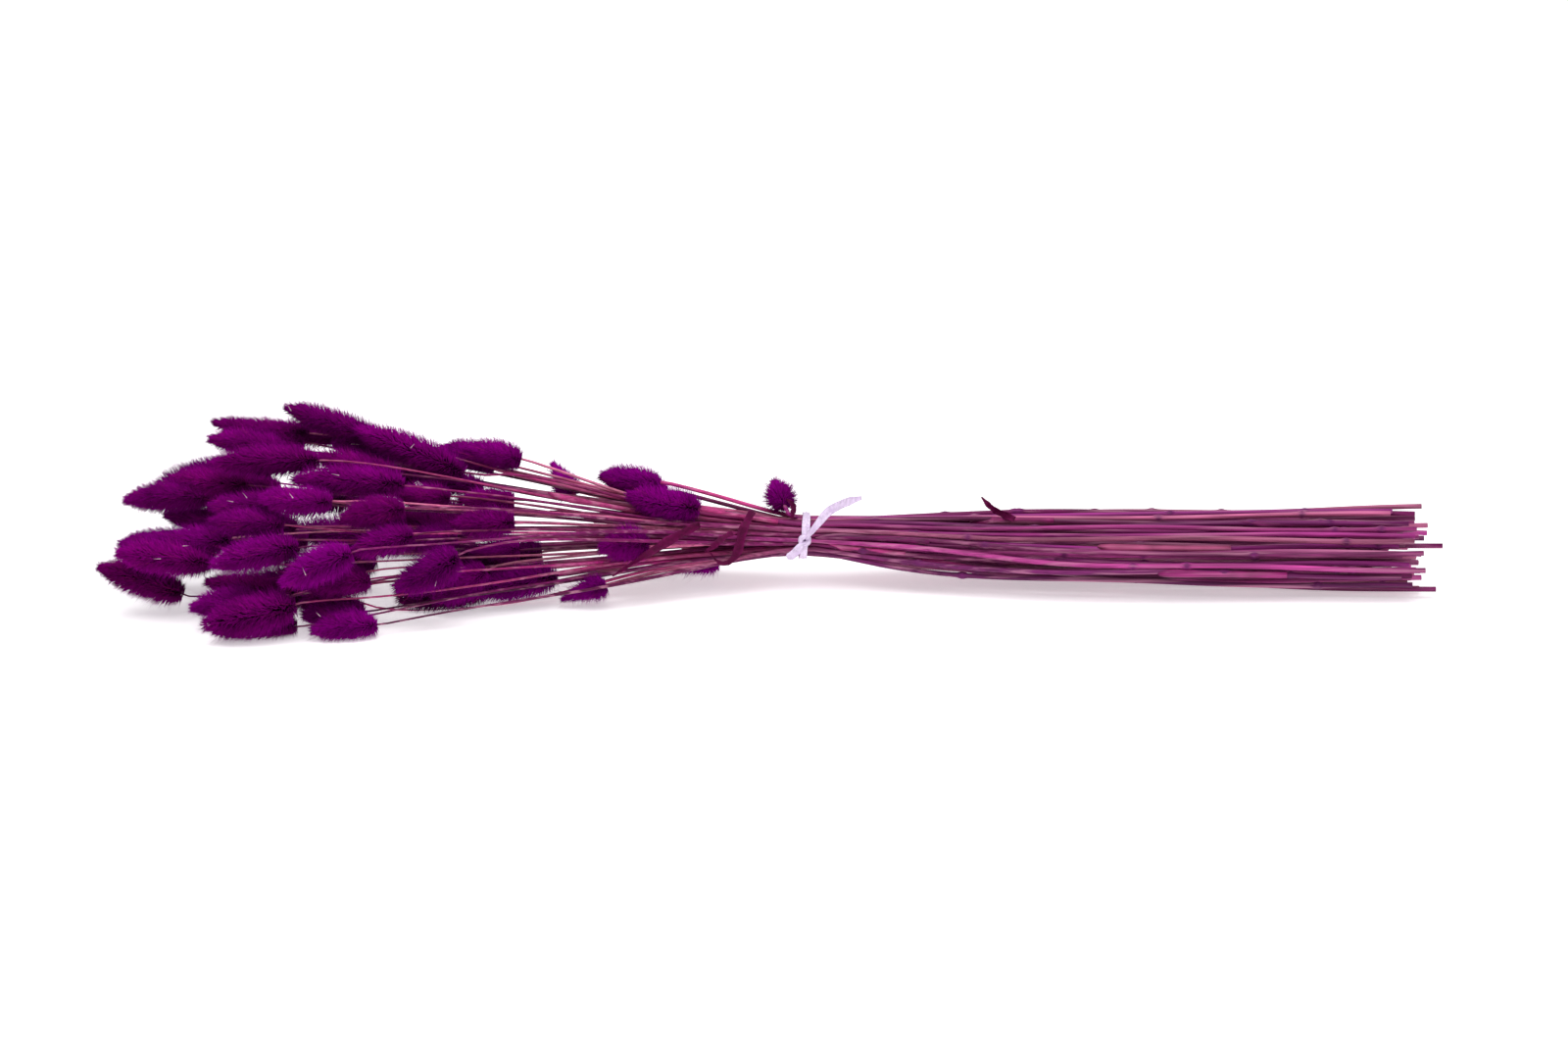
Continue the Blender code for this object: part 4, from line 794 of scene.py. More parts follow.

# Every dye is linear red, green and blue
# The dark of the fur's depths is painted shade, on the core and at the roots of the spikes
FUR_ROOT_SHADE = np.array([0.050, 0.000, 0.027])
FUR_TIP = np.array([0.290, 0.000, 0.262])
FUR_RED = np.array([0.250, 0.000, 0.140])
HAIR_TIP = np.array([0.440, 0.004, 0.420])
AWN_DYE = np.array([0.240, 0.010, 0.110])

# The pale flakes of chaff in the fur: the pixel where each shows
SLIVERS = ((238, 512), (252, 508), (299, 508), (186, 557), (164, 570), (312, 587), (327, 629),
           (444, 598), (419, 457), (358, 453), (346, 485), (297, 419))
SLIVER_DYE = np.array([0.800, 0.560, 0.640])
SLIVER_WIDTH = 0.4
SLIVER_REACH = 1.0
SLIVER_LENGTHS = (3.0, 4.5)
SLIVER_RUN_Y = -0.35
SLIVER_FACING = np.array([[0.0, -1.0, 0.3]])

# A wave along or round a piece starts anywhere in its turn
WAVE_STARTS = (0.0, 6.0)

# Straws: thinner towards the heads from a distance above the tie, and darker at their knuckles
STRAW_SIDES = 10
STRAW_RIBS = 0.05
RING_STEP = 9.0
KNUCKLE_RINGS = np.array([-5.0, -2.6, -1.5, -0.7, 0.0, 0.7, 1.5, 2.6, 5.0])
KNUCKLE_SWELL = 0.525
KNUCKLE_REACH = 1.9
KNUCKLE_DYE_REACH = 1.8
KNUCKLE_DYE_SHARE = 0.85
MORE_KNUCKLES = (880.0, 1420.0)
THINNER_TO_HEAD = 0.38
THINNING_FROM = 50.0
THINNING_OVER = 120.0
WOBBLE = 0.75
WOBBLE_WAVES = (0.02, 0.05)
WOBBLE_FROM_TIE = 40.0
INTO_HEAD = 0.15
HOLLOW_DEPTH = 2.2
HOLLOW_RADII = np.array([0.98, 0.6, 0.5])
UPPER_DYES = np.array([
    (0.44, 0.040, 0.18), (0.30, 0.012, 0.13), (0.22, 0.006, 0.11), (0.52, 0.100, 0.23),
    (0.13, 0.003, 0.07),
])
LOWER_DYES = np.array([
    (0.36, 0.03, 0.22), (0.30, 0.03, 0.17), (0.38, 0.09, 0.19), (0.22, 0.015, 0.15),
    (0.13, 0.006, 0.07),
])
LOWER_FROM = -70.0
LOWER_OVER = 130.0
STRAW_DYE = np.array([0.56, 0.15, 0.27])
STRAW_SHARE = 0.06
STRAW_BELOW_SHARE = 0.4
TONES = (0.4, 1.25)
PATCH_TONES = (0.8, 1.2)
PATCH_PLACES = np.linspace(-320, 320, 24)
KNUCKLE_DYE = np.array([0.11, 0.004, 0.085])
CUT_DYE = np.array([0.52, 0.26, 0.33])
# The dark in a cut straw's hollow is painted shade
HOLLOW_SHADE = np.array([0.05, 0.004, 0.03])

# Sheaths: the pixel where each shows, and its length to either side along the stem
SHEATHS = ((746, 523, 24, 22), (1022, 529, 8, 24), (895, 546, 22, 24), (880, 560, 16, 20),
           (1180, 560, 20, 34), (1330, 535, 26, 20), (690, 560, 20, 26), (1255, 585, 26, 26),
           (620, 515, 22, 24), (980, 575, 20, 26))
SHEATH_RINGS = 14
SHEATH_GAP = 0.28
SHEATH_OPENING = 0.5
SHEATH_OPEN_SHARE = 0.45
SHEATH_LOBES = 0.22
SHEATH_TEAR = 7.0
SHEATH_DYE = np.array([0.230, 0.018, 0.130])
SHEATH_DYE_SHARES = (0.3, 1.0)
SHEATH_TONES = (0.7, 1.1)

# Leaves: curled across, wavy and twisted along, and paler at their edges
LEAF_DYE = np.array([0.075, 0.000, 0.030])
LEAF_EDGE_DYE = np.array([0.140, 0.005, 0.065])
LEAF_RINGS = 34
LEAF_CURL = 0.28
LEAF_ACROSS = 7
LEAF_WAVE = 0.10
LEAF_WAVES = 23
LEAF_TURNS = (-0.5, 0.5)
LEAF_TWIST = 0.55
LEAF_TWISTS = (3.0, 6.0)
LEAF_CRINKLE = 0.13
LEAF_EDGE_SHARE = 0.6
LEAF_SHARE_VARIES = (-0.1, 0.25)

# A sheet has its whole thickness in the middle and thins to this share of it at its edges
SHEET_THICKNESS = 0.3
SHEET_MIDDLE = 1.15
SHEET_EDGE = 0.3

# The strip round the stems, gathered into creases, and the two fat turns of its knot
TIE_DYE = np.array([0.76, 0.62, 0.84])
TIE_STEPS = 72
TIE_ACROSS = 9
BAND_SWELL = 0.12
BAND_CREASE = 0.16
BAND_CREASES = 14
BAND_CRINKLE = 0.03
BAND_SHARE = 0.7
BAND_MIDDLE = 1.2
BAND_EDGE = 0.35
KNOT_TURNS = (-0.5, 0.45)
KNOT_LOOP = np.array([0.75, 0.55, 0.75]) * KNOT_HALF_SIZES
KNOT_STEPS = 24
KNOT_SIDES = 10
KNOT_STRAND = 1.15

# The strip's free ends leave the knot narrow, flare to their full width and close to a blunt point
STRIP_END_RINGS = 28
STRIP_END_SHARE = 0.6
NARROW = 0.75
FLARE = 0.5
FLARE_OVER = 0.6
CLOSE = 0.55
CLOSE_FROM = 0.8
CLOSE_OVER = 0.2
STRIP_END_TWIST = 0.5
STRIP_END_TWISTS = 5.0
STRIP_END_CURL = 0.35
STRIP_END_CRINKLE = 0.05

# The studio, in metres and watts: each light's name, place, size and power
FLOOR_HALF = 6.0
WORLD_STRENGTH = 0.50
LIGHTS = (("key", (-0.4, -0.6, 2.5), 2.6, 66.0), ("fill", (0.9, -1.6, 0.9), 1.0, 4.0))
LIT_PLACE = (0.0, 0.0, 0.03)


def unit(vectors):
    return vectors / np.maximum(np.linalg.norm(vectors, axis=-1, keepdims=True), TINIEST)


def smooth_step(value):
    value = np.clip(value, 0.0, 1.0)
    return value * value * (3 - 2 * value)


def blend(first, second, share):
    """A mix of two colours or points for each value of share."""
    share = np.asarray(share)[..., None]
    return np.asarray(first) * (1 - share) + np.asarray(second) * share


def rounded(route, rounds):
    """The route with its corners cut away again and again, until it is a smooth curve."""
    points = np.array(route)
    for _ in range(rounds):
        nearer = 0.75 * points[:-1] + 0.25 * points[1:]
        farther = 0.25 * points[:-1] + 0.75 * points[1:]
        middle = np.stack([nearer, farther], axis=1).reshape(-1, 3)
        points = np.vstack([points[:1], middle, points[-1:]])
    return points


def lengths_along(path):
    steps = np.linalg.norm(np.diff(path, axis=0), axis=1)
    return np.concatenate([[0.0], np.cumsum(steps)])


def points_at(path, distances):
    along = lengths_along(path)
    return np.column_stack([np.interp(distances, along, path[:, axis]) for axis in range(3)])


def frames_along(path):
    """At each point of a path, its direction and two vectors across it that don't twist."""
    run = unit(np.gradient(path, axis=0))
    side = frame_across(run[0])[0]
    sides = []
    for direction in run:
        side = unit(side - direction * np.dot(side, direction))
        sides.append(side)
    sides = np.array(sides)
    return run, sides, np.cross(sides, run)


def evenly(path, count):
    """The path with this many points, evenly spaced, and how far along each of them lies."""
    along = np.linspace(0.0, 1.0, count)
    return points_at(path, along * lengths_along(path)[-1]), along


def rings_round(path, side, above, radii):
    """Rings of points round a path, with a radius for each point of each ring."""
    angles = turn_angles(radii.shape[1])
    across = np.cos(angles)[None, :, None] * side[:, None, :]
    across = across + np.sin(angles)[None, :, None] * above[:, None, :]
    return path[:, None, :] + across * radii[:, :, None]


def turn_angles(count):
    return 2 * math.pi * np.arange(count) / count


class Skin:
    """The vertices and faces of one piece as it grows, with a dye for each vertex."""

    def __init__(self):
        self.points = []
        self.faces = []
        self.dyes = []
        self.normals = []
        self.count = 0

    def add(self, points, faces, dyes, normals=None):
        points = np.asarray(points).reshape(-1, 3)
        self.faces += [tuple(self.count + i for i in face) for face in faces]
        self.points.append(points)
        self.dyes.append(np.broadcast_to(dyes, points.shape))
        self.normals.append(np.zeros(points.shape) if normals is None else normals)
        self.count += len(points)

    def loft(self, rings, dyes, normals=None, loop=False):
        """A closed skin over rings of equal count, flat at its ends or led back to its first ring."""
        rings = np.asarray(rings)
        count, sides = rings.shape[:2]
        index = np.arange(count * sides).reshape(count, sides)
        following = np.roll(index, -1, axis=1)
        later = np.roll(index, -1, axis=0)
        later_following = np.roll(following, -1, axis=0)
        last = count if loop else count - 1
        quads = np.stack([index, later, later_following, following], axis=-1)[:last]
        faces = [tuple(quad) for quad in quads.reshape(-1, 4).tolist()]
        if not loop:
            faces.append(tuple(index[0].tolist()))
            faces.append(tuple(reversed(index[-1].tolist())))
        self.add(rings, faces, dyes, normals)

    def spikes(self, roots, tips, widths, normals, root_dyes, tip_dyes):
        """Closed three-sided spikes, shaded with the normals of what they grow on."""
        run = unit(tips - roots)
        side = unit(np.cross(run, normals))
        above = np.cross(side, run)
        corners = []
        for angle in (math.pi / 2, math.pi * 7 / 6, math.pi * 11 / 6):
            across = math.cos(angle) * side + math.sin(angle) * above
            corners.append(roots + across * widths[:, None] / 2)
        points = np.stack([*corners, tips], axis=1)
        first = np.arange(len(roots))[:, None] * 4
        faces = [first + np.array(face) for face in ((1, 0, 3), (2, 1, 3), (0, 2, 3), (0, 1, 2))]
        faces = np.stack(faces, axis=1).reshape(-1, 3).tolist()
        dyes = np.stack([root_dyes, root_dyes, root_dyes, tip_dyes], axis=1)
        shading = np.repeat(normals[:, None, :], 4, axis=1).reshape(-1, 3)
        self.add(points, faces, dyes.reshape(-1, 3), shading)

    def piece(self, name, material, slot, *nodes):
        """The finished piece, in place of these nodes."""
        points = np.vstack(self.points)
        points[:, 2] = np.maximum(points[:, 2], FLOOR_ROOM)
        mesh = bpy.data.meshes.new(name)
        mesh.from_pydata(((points + SHIFT) * MM).tolist(), [], self.faces)
        mesh.shade_smooth()
        normals = np.vstack(self.normals)
        if np.any(normals):
            mesh.normals_split_custom_set_from_vertices(normals.tolist())
        dyes = np.column_stack([np.vstack(self.dyes), np.ones(len(points))])
        attribute = mesh.attributes.new("dye", "FLOAT_COLOR", "POINT")
        attribute.data.foreach_set("color", np.clip(dyes, 0.0, 1.0).astype(np.float32).ravel())
        mesh.materials.append(material)
        made = add_object(name, mesh)
        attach(made, "root")
        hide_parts(*nodes)


class Head:
    """A head's curved middle line, and the places on and over its skin."""

    def __init__(self, base, tip, radius, draw):
        self.base = base
        self.radius = radius
        self.length = np.linalg.norm(tip - base)
        self.axis = (tip - base) / self.length
        self.side, self.above = frame_across(self.axis)
        angle = draw.uniform(0.0, 2 * math.pi)
        self.bend = draw.uniform(*BEND) * (math.cos(angle) * self.side + math.sin(angle) * self.above)
        self.taper = draw.uniform(*TAPER) if self.length > SHORTEST_HEAD + 1 else TUFT_TAPER

    def profile(self, t):
        """The share of its widest radius that the head has, thinner to its tip than a plain oval."""
        return head_profile(t) * (1 - self.taper * smooth_step(t))

    def middle(self, t):
        t = np.asarray(t)[..., None]
        return self.base + self.axis * self.length * t + self.bend * 4 * t * (1 - t)

    def outward(self, angle):
        angle = np.asarray(angle)[..., None]
        return np.cos(angle) * self.side + np.sin(angle) * self.above

    def normal(self, t, angle):
        slope = np.clip((np.asarray(t) - NORMAL_LEVEL) * NORMAL_TURN, *NORMAL_SLOPES)
        return unit(self.outward(angle) + self.axis * slope[..., None])

    def spread(self, count, draw):
        """Places that cover the skin evenly: how far along and at what angle."""
        levels = np.linspace(0.0, 1.0, SPREAD_LEVELS)
        share = np.cumsum(head_profile(levels) + SPREAD_AT_ENDS)
        places = (np.arange(count) + draw.uniform(0.0, 1.0, count)) / count * share[-1]
        t = np.interp(places, share, levels)
        angle = np.arange(count) * GOLDEN_ANGLE + draw.normal(0.0, ANGLE_JITTER, count)
        return t, angle


def grow_core(skin, head, tone):
    levels = np.linspace(*CORE_ENDS, CORE_RINGS)
    angles = -turn_angles(CORE_SIDES)
    radii = head.radius * CORE_SHARE * head.profile(levels)
    middles = head.middle(levels)
    rings = middles[:, None, :] + radii[:, None, None] * head.outward(angles)[None, :, :]
    t, angle = np.meshgrid(levels, angles, indexing="ij")
    # The core is dyed with the painted shade of the fur's depths
    skin.loft(rings, FUR_ROOT_SHADE * tone, head.normal(t, angle).reshape(-1, 3))


def grow_coat(skin, head, coat, tip_dye, tone, draw):
    """Tufts or hairs that stand off near the head's base and lean ever more to its tip."""
    t, angle = head.spread(coat.count, draw)
    inner = head.radius * CORE_SHARE * head.profile(t)
    roots = head.middle(t) + head.outward(angle) * inner[:, None] * ROOT_SHARE
    lean = LEAN_AT_BASE + (LEAN - LEAN_AT_BASE) * smooth_step(t / LEAN_REACHED)
    along = t + lean * draw.uniform(*LEAN_VARIES, coat.count) / head.length
    out = head.radius * head.profile(np.clip(along, *COAT_PLACES))
    out = out + draw.normal(coat.stand, coat.spread, coat.count)
    to_tip = smooth_step((t - STAND_ENDS_FROM) / STAND_ENDS_OVER)
    out = np.maximum(out, inner + LEAST_STAND * (1 - to_tip))
    out *= 1 - TIP_CLOSING * smooth_step((along - CLOSES_FROM) / CLOSES_OVER)
    sway = angle + draw.normal(0.0, SWAY, coat.count)
    tips = head.middle(along) + head.outward(sway) * out[:, None]
    normals = unit(head.normal(t, angle) + draw.normal(0.0, RUFFLE, (coat.count, 3)))
    share = draw.uniform(*HAIR_TONES, coat.count)[:, None] * tone
    # Each spike's root is mostly painted shade, dark as the fur's depths
    root_dyes = blend(FUR_ROOT_SHADE, tip_dye, ROOT_DYE_SHARE) * share
    widths = draw.uniform(*coat.widths, coat.count)
    skin.spikes(roots, tips, widths, normals, root_dyes, tip_dye * share)


def grow_awns(skin, head, count, draw):
    """The long straight bristles that stand out past the fur."""
    t = draw.uniform(*AWN_PLACES, count)
    angle = draw.uniform(0.0, 2 * math.pi, count)
    outward = head.outward(angle)
    roots = head.middle(t) + outward * (head.radius * CORE_SHARE * head.profile(t))[:, None]
    run = unit(head.axis + outward * draw.uniform(*AWN_SPREAD, count)[:, None])
    tips = roots + run * draw.uniform(*AWN_LENGTHS, count)[:, None]
    dyes = np.tile(AWN_DYE, (count, 1)) * draw.uniform(*AWN_TONES, count)[:, None]
    skin.spikes(roots, tips, draw.uniform(*AWN_WIDTHS, count), head.normal(t, angle), dyes, dyes)


def grow_head(skin, head, hidden, draw):
    """A head's core and coats. A hidden one is bushier, and its dye is darkened with painted shade, as
    the shade that shows between the others.
    """
    # A hidden head's tone is lowered with painted shade
    share, more, painted_shade = (HIDDEN_SHARE, HIDDEN_STAND, HIDDEN_SHADE_TONE) if hidden else (1.0, 0.0, 1.0)
    tone = draw.uniform(*HEAD_TONES) * painted_shade
    tip_dye = blend(FUR_TIP, FUR_RED, draw.uniform(0.0, REDDEST))
    grow_core(skin, head, tone)
    hair_dye = blend(tip_dye, HAIR_TIP, HAIR_DYE_SHARE)
    for coat, dye in ((TUFT_COAT, tip_dye), (HAIR_COAT, hair_dye)):
        coat = coat._replace(count=int(coat.count * share), stand=coat.stand + more)
        grow_coat(skin, head, coat, dye, tone, draw)
    grow_awns(skin, head, int(AWNS * share), draw)


def slivers_on(layout, draw):
    """The pale flakes of chaff, each caught in the fur of the head that shows at its pixel."""
    caught = {}
    for column, row in SLIVERS:
        place = laid_on(layout, column, row, SLIVER_REACH, DEEPEST_DEPTH)
        spans = [layout.head(i)[:2] for i in layout.heads]
        distances = [np.linalg.norm(place - (base + tip) / 2) for base, tip in spans]
        owner = layout.heads[int(np.argmin(distances))]
        angle = draw.uniform(0.0, math.pi)
        run = np.array([math.cos(angle), SLIVER_RUN_Y, math.sin(angle)])
        ends = place, place + run * draw.uniform(*SLIVER_LENGTHS)
        caught.setdefault(owner, []).append(ends)
    return caught


def build_heads(layout, groups, material):
    draw = np.random.default_rng(SEED + 20)
    slivers = slivers_on(layout, draw)
    for number, group in enumerate(groups, 1):
        skin = Skin()
        for i in group:
            grow_head(skin, Head(*layout.head(i), draw), i >= len(SEEN_HEADS), draw)
            for root, tip in slivers.get(i, ()):
                ends = root[None, :], tip[None, :]
                dyes = (SLIVER_DYE[None, :],) * 2
                skin.spikes(*ends, np.array([SLIVER_WIDTH]), SLIVER_FACING, *dyes)
        name = f"head_{number:02d}" if len(group) == 1 else f"heads_{number:02d}"
        skin.piece(f"{name}_fur", material, "heads", name)


def straw_dyes(x, from_knuckle, draw):
    """The colour down a straw: pinker above the tie, magenta below it, dark at its knuckles."""
    upper = UPPER_DYES[draw.integers(len(UPPER_DYES))]
    lower = LOWER_DYES[draw.integers(len(LOWER_DYES))]
    if draw.random() < STRAW_SHARE:
        upper, lower = STRAW_DYE, blend(STRAW_DYE, lower, STRAW_BELOW_SHARE)
    below = smooth_step((x - TIE_X - LOWER_FROM) / LOWER_OVER)
    dyes = blend(upper, lower, below) * draw.uniform(*TONES)
    patches = np.interp(x, PATCH_PLACES, draw.uniform(*PATCH_TONES, len(PATCH_PLACES)))
    joint = np.exp(-((from_knuckle / KNUCKLE_DYE_REACH) ** 2))
    return blend(dyes * patches[:, None], KNUCKLE_DYE, KNUCKLE_DYE_SHARE * joint)


def straw_path(layout, i):
    """A straw's rounded middle line, from well inside its head to its cut end."""
    route = list(layout.stem(i))
    if layout.plants.radii[i] > 0:
        base, tip, _ = layout.head(i)
        route.insert(0, base + (tip - base) * INTO_HEAD)
    return rounded(route, 3)


def add_straw(skin, layout, i, draw):
    path = straw_path(layout, i)
    along = lengths_along(path)
    total = along[-1]
    knuckles = [layout.knuckles[i], *along_x(draw.uniform(*MORE_KNUCKLES, 2))]
    knuckles = np.interp(knuckles, path[:, 0], along, -FAR_AWAY, FAR_AWAY)
    knuckles = knuckles[(knuckles > 0) & (knuckles < total)]
    around = (knuckles[:, None] + KNUCKLE_RINGS[None, :]).ravel()
    places = np.sort(np.concatenate([np.linspace(0.0, total, int(total / RING_STEP)), around]))
    places = places[(places >= 0) & (places <= total)]
    path = points_at(path, places)
    waves = draw.uniform(*WOBBLE_WAVES, 2)
    starts = draw.uniform(*WAVE_STARTS, 2)
    from_tie = abs(path[:, 0] - TIE_X) / WOBBLE_FROM_TIE
    for axis in (1, 2):
        swing = np.sin(path[:, 0] * waves[axis - 1] + starts[axis - 1])
        path[:, axis] += WOBBLE * swing * smooth_step(from_tie)
    from_knuckle = abs(places[:, None] - knuckles[None, :]).min(axis=1, initial=FAR_AWAY)
    swell = KNUCKLE_SWELL * np.exp(-((from_knuckle / KNUCKLE_REACH) ** 2))
    above_tie = TIE_X - THINNING_FROM - path[:, 0]
    radii = stem_radius(path[:, 0]) * (1 + swell)
    radii *= 1 - THINNER_TO_HEAD * smooth_step(above_tie / THINNING_OVER)
    run, side, above = frames_along(path)
    dyes = straw_dyes(path[:, 0], from_knuckle, draw)
    # The cut end: a pale rim round a shallow hollow, darkened with painted shade.
    end = path[-1] + run[-1] * np.array([0.0, 0.0, -HOLLOW_DEPTH])[:, None]
    path = np.vstack([path, end])
    radii = np.concatenate([radii, radii[-1] * HOLLOW_RADII])
    dyes = np.vstack([dyes, CUT_DYE, blend(CUT_DYE, HOLLOW_SHADE, 0.5), HOLLOW_SHADE])
    side, above = (np.vstack([vectors, np.tile(vectors[-1], (3, 1))]) for vectors in (side, above))
    ribs = 1 + STRAW_RIBS * np.cos(3 * turn_angles(STRAW_SIDES) + draw.uniform(*WAVE_STARTS))
    rings = rings_round(path, side, above, radii[:, None] * ribs[None, :])
    skin.loft(rings, np.repeat(dyes, STRAW_SIDES, axis=0))


def stem_at(layout, column, row):
    """The stem that shows at this pixel, and where on it."""
    rods = layout.rods
    stems = np.flatnonzero(~rods.is_head)
    start = layout.points[rods.starts[stems]]
    along = layout.points[rods.ends[stems]] - start
    for depth in np.arange(NEAREST_DEPTH, DEEPEST_DEPTH, 2 * DEPTH_STEP):
        place = seen_at(column, row, depth)
        clear = np.linalg.norm(place - nearest_on(start, along, place), axis=1) - rods.radii[stems]
        if clear.min() < LEAF_GAP:
            return int(rods.plants[stems[np.argmin(clear)]]), place[0]
    return None


def add_sheath(skin, layout, i, x, before, after, draw):
    """A dry leaf base that still wraps a straw, torn open at its upper end."""
    path = straw_path(layout, i)
    middle = np.interp(x, path[:, 0], lengths_along(path))
    places = np.linspace(middle - before, middle + after, SHEATH_RINGS)
    places = places[(places > 0) & (places < lengths_along(path)[-1])]
    path = points_at(path, places)
    run, side, above = frames_along(path)
    share = np.linspace(0.0, 1.0, len(path))
    angles = turn_angles(STRAW_SIDES)
    loose = SHEATH_GAP + SHEATH_OPENING * (1 - smooth_step(share / SHEATH_OPEN_SHARE))
    lobes = 1 + SHEATH_LOBES * np.sin(2 * angles + draw.uniform(*WAVE_STARTS))
    radii = stem_radius(path[:, 0])[:, None] + loose[:, None] * lobes[None, :]
    torn = SHEATH_TEAR * (1 - share)[:, None] ** 2 * np.sin(angles + draw.uniform(*WAVE_STARTS))[None, :]
    rings = rings_round(path, side, above, radii) + run[:, None, :] * torn[:, :, None]
    upper = UPPER_DYES[draw.integers(len(UPPER_DYES))]
    dye = blend(SHEATH_DYE, upper, draw.uniform(*SHEATH_DYE_SHARES))
    dyes = dye * draw.uniform(*SHEATH_TONES, (len(path), 1))
    skin.loft(rings, np.repeat(dyes, STRAW_SIDES, axis=0))


def build_stems(layout, material):
    draw = np.random.default_rng(SEED + 30)
    rows = layout.plants.slots[:, 2].astype(int)
    layers = (rows - rows.min()) // 2
    sheathed = [(stem_at(layout, *sheath[:2]), sheath[2:]) for sheath in SHEATHS]
    for layer in range(layers.max() + 1):
        skin = Skin()
        for i in np.flatnonzero(layers == layer):
            add_straw(skin, layout, i, draw)
            for found, lengths in sheathed:
                if found and found[0] == i:
                    add_sheath(skin, layout, i, found[1], *lengths, draw)
        name = f"stems_{layer + 1}"
        slot = "upper_stems" if layer > 1 else "lower_stems"
        skin.piece(f"{name}_straws", material, slot, name)


def leaf_line(layout, leaf):
    """The middle line of a leaf and its widths, slid along the line of sight to where it rests."""
    points = []
    widths = []
    deepest = DEEPEST_DEPTH
    for k, (column, row) in enumerate(leaf.route):
        place = laid_on(layout, column, row, leaf.width, deepest)
        deepest = place[1] + LEAF_REACH
        points.append(place)
        share = k / (len(leaf.route) - 1)
        belly = LEAF_FOOT_WIDTH + (1 - LEAF_FOOT_WIDTH) * math.sin(math.pi * share)
        widths.append(leaf.width * belly * (1 - share**3 * LEAF_TAPER))
    for k in range(len(points) - 2, -1, -1):
        column, row = leaf.route[k]
        points[k] = seen_at(column, row, min(points[k][1], points[k + 1][1] + LEAF_REACH))
    seated = points
    for slide in np.arange(*LEAF_SLIDE):
        moved = [point + SIGHT * slide for point in points]
        clear = min(layout.clearance(point) for point in moved)
        if slide > LEAF_SLIDE[0] and clear < LEAF_GAP + LEAF_THICKNESS / 2:
            break
        seated = moved
    return np.array(seated), np.array(widths)


def sheet_rings(path, widths, curl, turns, thickness, across_count, crinkle, draw):
    """Rings of a thin curled strip that follows a path, its flat side towards the camera."""
    run = unit(np.gradient(path, axis=0))
    normal = unit(run * np.sum(run * SIGHT, axis=1, keepdims=True) - SIGHT)
    across = np.cross(run, normal)
    turned_across = across * np.cos(turns)[:, None] + normal * np.sin(turns)[:, None]
    turned_normal = normal * np.cos(turns)[:, None] - across * np.sin(turns)[:, None]
    s = np.linspace(-0.5, 0.5, across_count)
    lift = curl * (4 * s**2)[None, :] * widths[:, None] / 2
    lift = lift + draw.normal(0.0, crinkle, (len(path), across_count))
    middle = path[:, None, :] + turned_across[:, None, :] * (s[None, :] * widths[:, None])[:, :, None]
    middle = middle + turned_normal[:, None, :] * lift[:, :, None]
    taper = thickness / 2 * np.clip(SHEET_MIDDLE - 2 * abs(s), SHEET_EDGE, 1.0)
    offset = turned_normal[:, None, :] * taper[None, :, None]
    return np.concatenate([middle - offset, (middle + offset)[:, ::-1]], axis=1)


def build_leaves(layout, material):
    draw = np.random.default_rng(SEED + 40)
    edge = abs(np.linspace(-1.0, 1.0, LEAF_ACROSS)) ** 3
    edge = np.concatenate([edge, edge[::-1]])
    for leaf in LEAVES:
        points, widths = leaf_line(layout, leaf)
        path, fine = evenly(rounded(points, 2), LEAF_RINGS)
        along = lengths_along(points)
        width = np.interp(fine, along / along[-1], widths)
        width = width * (1 + LEAF_WAVE * np.sin(fine * LEAF_WAVES + draw.uniform(*WAVE_STARTS)))
        turn = draw.uniform(*LEAF_TURNS)
        twist = np.sin(fine * draw.uniform(*LEAF_TWISTS) + draw.uniform(*WAVE_STARTS))
        turns = turn + LEAF_TWIST * twist
        form = LEAF_CURL, turns, SHEET_THICKNESS, LEAF_ACROSS, LEAF_CRINKLE
        rings = sheet_rings(path, width, *form, draw)
        share = edge[None, :] * LEAF_EDGE_SHARE
        share = share + draw.uniform(*LEAF_SHARE_VARIES, (len(path), 1))
        dyes = blend(LEAF_DYE, LEAF_EDGE_DYE, np.clip(share, 0.0, 1.0))
        skin = Skin()
        skin.loft(rings, dyes.reshape(-1, 3))
        skin.piece(f"{leaf.name}_blade", material, "leaves", leaf.name)


def band_rings(half_depth, half_height, draw):
    """The strip round the stems, gathered into lengthwise creases."""
    angles = turn_angles(TIE_STEPS)
    outward = np.column_stack([np.zeros(TIE_STEPS), np.cos(angles), np.sin(angles)])
    centre = np.column_stack([
        TIE_X + BAND_WAVE * np.sin(angles),
        half_depth * np.cos(angles),
        TIE_HEIGHT + half_height * np.sin(angles),
    ])
    width = STRIP_WIDTH * (1 + BAND_SWELL * np.sin(3 * angles + 1.0))
    s = np.linspace(-0.5, 0.5, TIE_ACROSS)
    crease = BAND_CREASE * np.cos(s * BAND_CREASES)[None, :]
    crease = crease + draw.normal(0.0, BAND_CRINKLE, (TIE_STEPS, TIE_ACROSS))
    along = np.array([1.0, 0.0, 0.0])
    middle = centre[:, None, :] + along * (s[None, :] * width[:, None])[:, :, None]
    thick = STRIP_THICKNESS / 2 * BAND_SHARE * np.clip(BAND_MIDDLE - 2 * abs(s), BAND_EDGE, 1.0)
    outer = middle + outward[:, None, :] * (crease + thick[None, :])[:, :, None]
    inner = middle - outward[:, None, :] * thick[None, :, None]
    return np.concatenate([inner, outer[:, ::-1]], axis=1)


